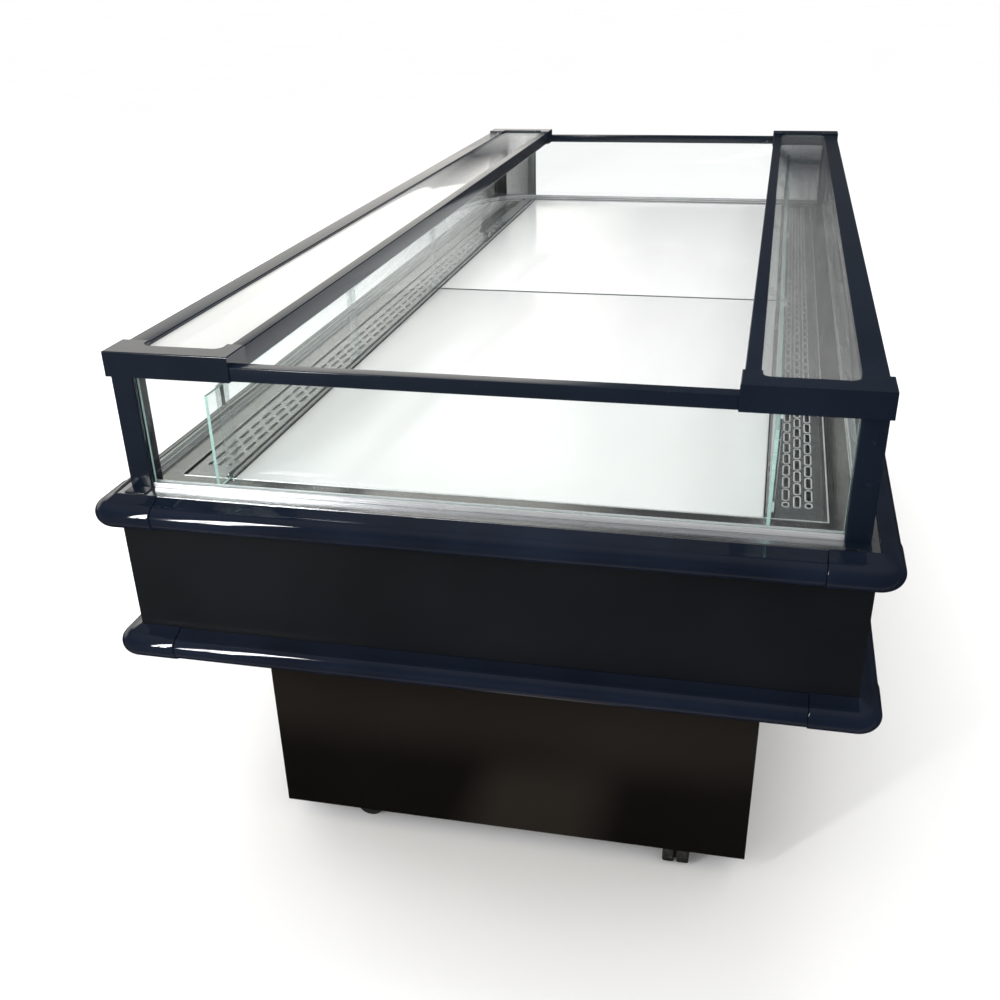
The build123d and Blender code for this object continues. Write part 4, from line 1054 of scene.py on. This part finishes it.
class FREEZER_OT_tub(Dressing, bpy.types.Operator):
    """Tub sheets, foam, liner and drain"""
    bl_idname = "freezer.tub"
    bl_label = "Tub"
    finishes = {"tub_paint": [f"tub_panel_{side}" for side in SIDES], "foam_core": ["tub_body"],
                "liner_enamel": ["liner"], "drain_plastic": ["drain_pipe"]}


class FREEZER_OT_base(Dressing, bpy.types.Operator):
    """Skirts, service panel, screws, base frame and machinery"""
    bl_idname = "freezer.base"
    bl_label = "Base"
    finishes = {"skirt_paint": [f"skirt_{side}" for side in SIDES] + ["service_panel"],
                "base_enamel": ["base_frame"],
                "zinc_plate": ["screws", "castor_plates", "fan_plate", "condenser_shroud", "drip_tray"],
                "coil_fins": ["evaporator_coil", "condenser"],
                "fan_moulding": ["evaporator_fan_near", "evaporator_fan_far", "condenser_fan"],
                "compressor_enamel": ["compressor"]}


class FREEZER_OT_castors(Dressing, bpy.types.Operator):
    """Twin-wheel castors"""
    bl_idname = "freezer.castors"
    bl_label = "Castors"
    finishes = {"castor_nylon": [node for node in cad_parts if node.startswith("castor_fork")],
                "castor_tread": [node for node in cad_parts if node.startswith("castor_wheels")]}


class FREEZER_OT_controls(Dressing, bpy.types.Operator):
    """Controller with its keys, and the power inlet"""
    bl_idname = "freezer.controls"
    bl_label = "Controls"
    finishes = {"control_plastic": ["controller", "power_inlet"],
                "key_plastic": ["button_down", "button_up", "button_power"]}


# ------------------------------------------------------------------ stage
class FREEZER_OT_stage(bpy.types.Operator):
    """Pale floor, soft studio light and the camera"""
    bl_idname = "freezer.stage"
    bl_label = "Stage"

    def execute(self, context):
        self.floor()
        self.sky(context)
        self.camera(context)
        context.scene.view_settings.view_transform = "Standard"
        self.softbox("overhead", (0.0, 1.0, 3.6), (0.0, 0.2, 0.6), (3.2, 3.6), 90.0, mirrored=False)
        self.softbox("left_wall", (-3.6, 1.4, 1.5), (-0.4, 0.2, 0.9), (3.4, 1.8), 60.0, mirrored=False)
        for name, east in (("strip_a", -1.375), ("strip_b", -1.26)):
            self.softbox(name, (east, -3.08, 1.47), (-0.36, -1.25, 0.6), (0.085, 1.3), 14.0)
        return {"FINISHED"}

    def floor(self):
        """A coarse grid of square faces at floor level, far larger than the cabinet."""
        side = np.linspace(-40.0, 40.0, 9)
        x, y = np.meshgrid(side, side, indexing="ij")
        points = np.stack([x, y, np.zeros_like(x)], -1).reshape(-1, 3)
        count = len(side)
        start = (np.arange(count - 1)[:, None] * count + np.arange(count - 1)[None]).reshape(-1)
        quads = np.stack([start, start + count, start + count + 1, start + 1], -1)
        mesh = bpy.data.meshes.new("floor")
        mesh.from_pydata(points.tolist(), [], quads.tolist())
        mesh.materials.append(finish("floor_paint"))
        ground = bpy.data.objects.new("floor", mesh)
        bpy.context.scene.collection.objects.link(ground)

    def sky(self, context):
        """Even light for matt surfaces. Mirrored rays see a dark room, a lighter ceiling and a bright wall to
        the far left."""
        world = bpy.data.worlds.new("studio")
        world.use_nodes = True
        context.scene.world = world
        f = Finish("studio", world.node_tree)
        east, north, height = (f.add("SeparateXYZ", {0: f.add("TexCoord", out=0)}, out=each)
                               for each in range(3))
        room = f.blend(f.range(height, 0.5, 0.95), (0.045, 0.046, 0.05), (0.22, 0.22, 0.23))
        window = f.range(east, -0.10, -0.18) * f.range(north, 0.0, 0.3) * f.range(height, 0.50, 0.38)
        room = f.blend(window, room, (1.02, 0.99, 0.93))
        path = f.add("LightPath", out=0)
        glossy = f.add("LightPath", out=3)
        even = f.add("Background", {"Color": (1.0, 1.0, 1.0), "Strength": 1.2})
        dim = f.add("Background", {"Color": room, "Strength": 1.0})
        white = f.add("Background", {"Color": (1.0, 1.0, 1.0), "Strength": 1.0})
        mixed = f.add("MixShader", {0: glossy, 1: even, 2: dim})
        mixed = f.add("MixShader", {0: path, 1: mixed, 2: white})
        f.add("OutputWorld", {"Surface": mixed})

    def softbox(self, name, place, aim, size, power, mirrored=True):
        """An area light at a place, turned to face a point. Unmirrored ones show in no reflection."""
        light = bpy.data.lights.new(name, "AREA")
        light.shape = "RECTANGLE"
        light.size, light.size_y = size
        light.energy = power
        lamp = bpy.data.objects.new(name, light)
        lamp.visible_glossy = mirrored
        look = np.array(aim) - np.array(place)
        lamp.matrix_world = facing(place, look, 0.0)
        bpy.context.scene.collection.objects.link(lamp)

    def camera(self, context):
        sizes = context.scene.freezer_view
        azimuth, elevation = math.radians(sizes.azimuth), math.radians(sizes.elevation)
        look = np.array([-math.sin(azimuth) * math.cos(elevation), math.cos(azimuth) * math.cos(elevation),
                         -math.sin(elevation)])
        lens = bpy.data.cameras.new("view")
        lens.lens = sizes.lens
        lens.sensor_width = 36.0
        lens.shift_y = sizes.rise
        camera = bpy.data.objects.new("view", lens)
        camera.matrix_world = facing(tuple(sizes.eye), look, math.radians(sizes.roll))
        context.scene.collection.objects.link(camera)
        context.scene.camera = camera


def facing(place, look, roll):
    """World matrix of a lamp or camera that looks along a direction and is rolled about it."""
    look = look / np.linalg.norm(look)
    level = np.cross(look, (0.0, 0.0, 1.0))
    level /= np.linalg.norm(level)
    upright = np.cross(level, look)
    right = math.cos(roll) * level - math.sin(roll) * upright
    up = np.cross(right, look)
    matrix = np.eye(4)
    matrix[:3, :3] = np.stack([right, up, -look], -1)
    matrix[:3, 3] = place
    return Matrix(matrix.tolist())


# ------------------------------------------------------------------ add-on
OPERATORS = (FREEZER_OT_stage, FREEZER_OT_bumpers, FREEZER_OT_surround_frame, FREEZER_OT_panes,
             FREEZER_OT_ledge, FREEZER_OT_deck, FREEZER_OT_grilles, FREEZER_OT_tub, FREEZER_OT_base,
             FREEZER_OT_castors, FREEZER_OT_controls)
GROUPS = {"freezer_bumpers": FreezerBumpers, "freezer_surround": FreezerSurround,
          "freezer_ledge": FreezerLedge, "freezer_deck": FreezerDeck, "freezer_gussets": FreezerGussets,
          "freezer_colours": FreezerColours, "freezer_view": FreezerView}


class FREEZER_PT_panel(bpy.types.Panel):
    """Lists the freezer's pieces and sizes"""
    bl_idname = "FREEZER_PT_panel"
    bl_label = "Island freezer"
    bl_space_type = "VIEW_3D"
    bl_region_type = "UI"
    bl_category = "Freezer"

    def draw(self, context):
        for operator in OPERATORS:
            self.layout.operator(operator.bl_idname)
        for name in GROUPS:
            box = self.layout.box()
            group = getattr(context.scene, name)
            for key in group.__annotations__:
                box.prop(group, key)


def register():
    for kind in (*GROUPS.values(), *OPERATORS, FREEZER_PT_panel):
        bpy.utils.register_class(kind)
    for name, kind in GROUPS.items():
        setattr(bpy.types.Scene, name, bpy.props.PointerProperty(type=kind))


def unregister():
    for name in GROUPS:
        delattr(bpy.types.Scene, name)
    for kind in reversed((*GROUPS.values(), *OPERATORS, FREEZER_PT_panel)):
        bpy.utils.unregister_class(kind)


def main():
    """Builds every piece."""
    register()
    for operator in OPERATORS:
        group, name = operator.bl_idname.split(".")
        getattr(getattr(bpy.ops, group), name)()


if __name__ == "__main__":
    main()
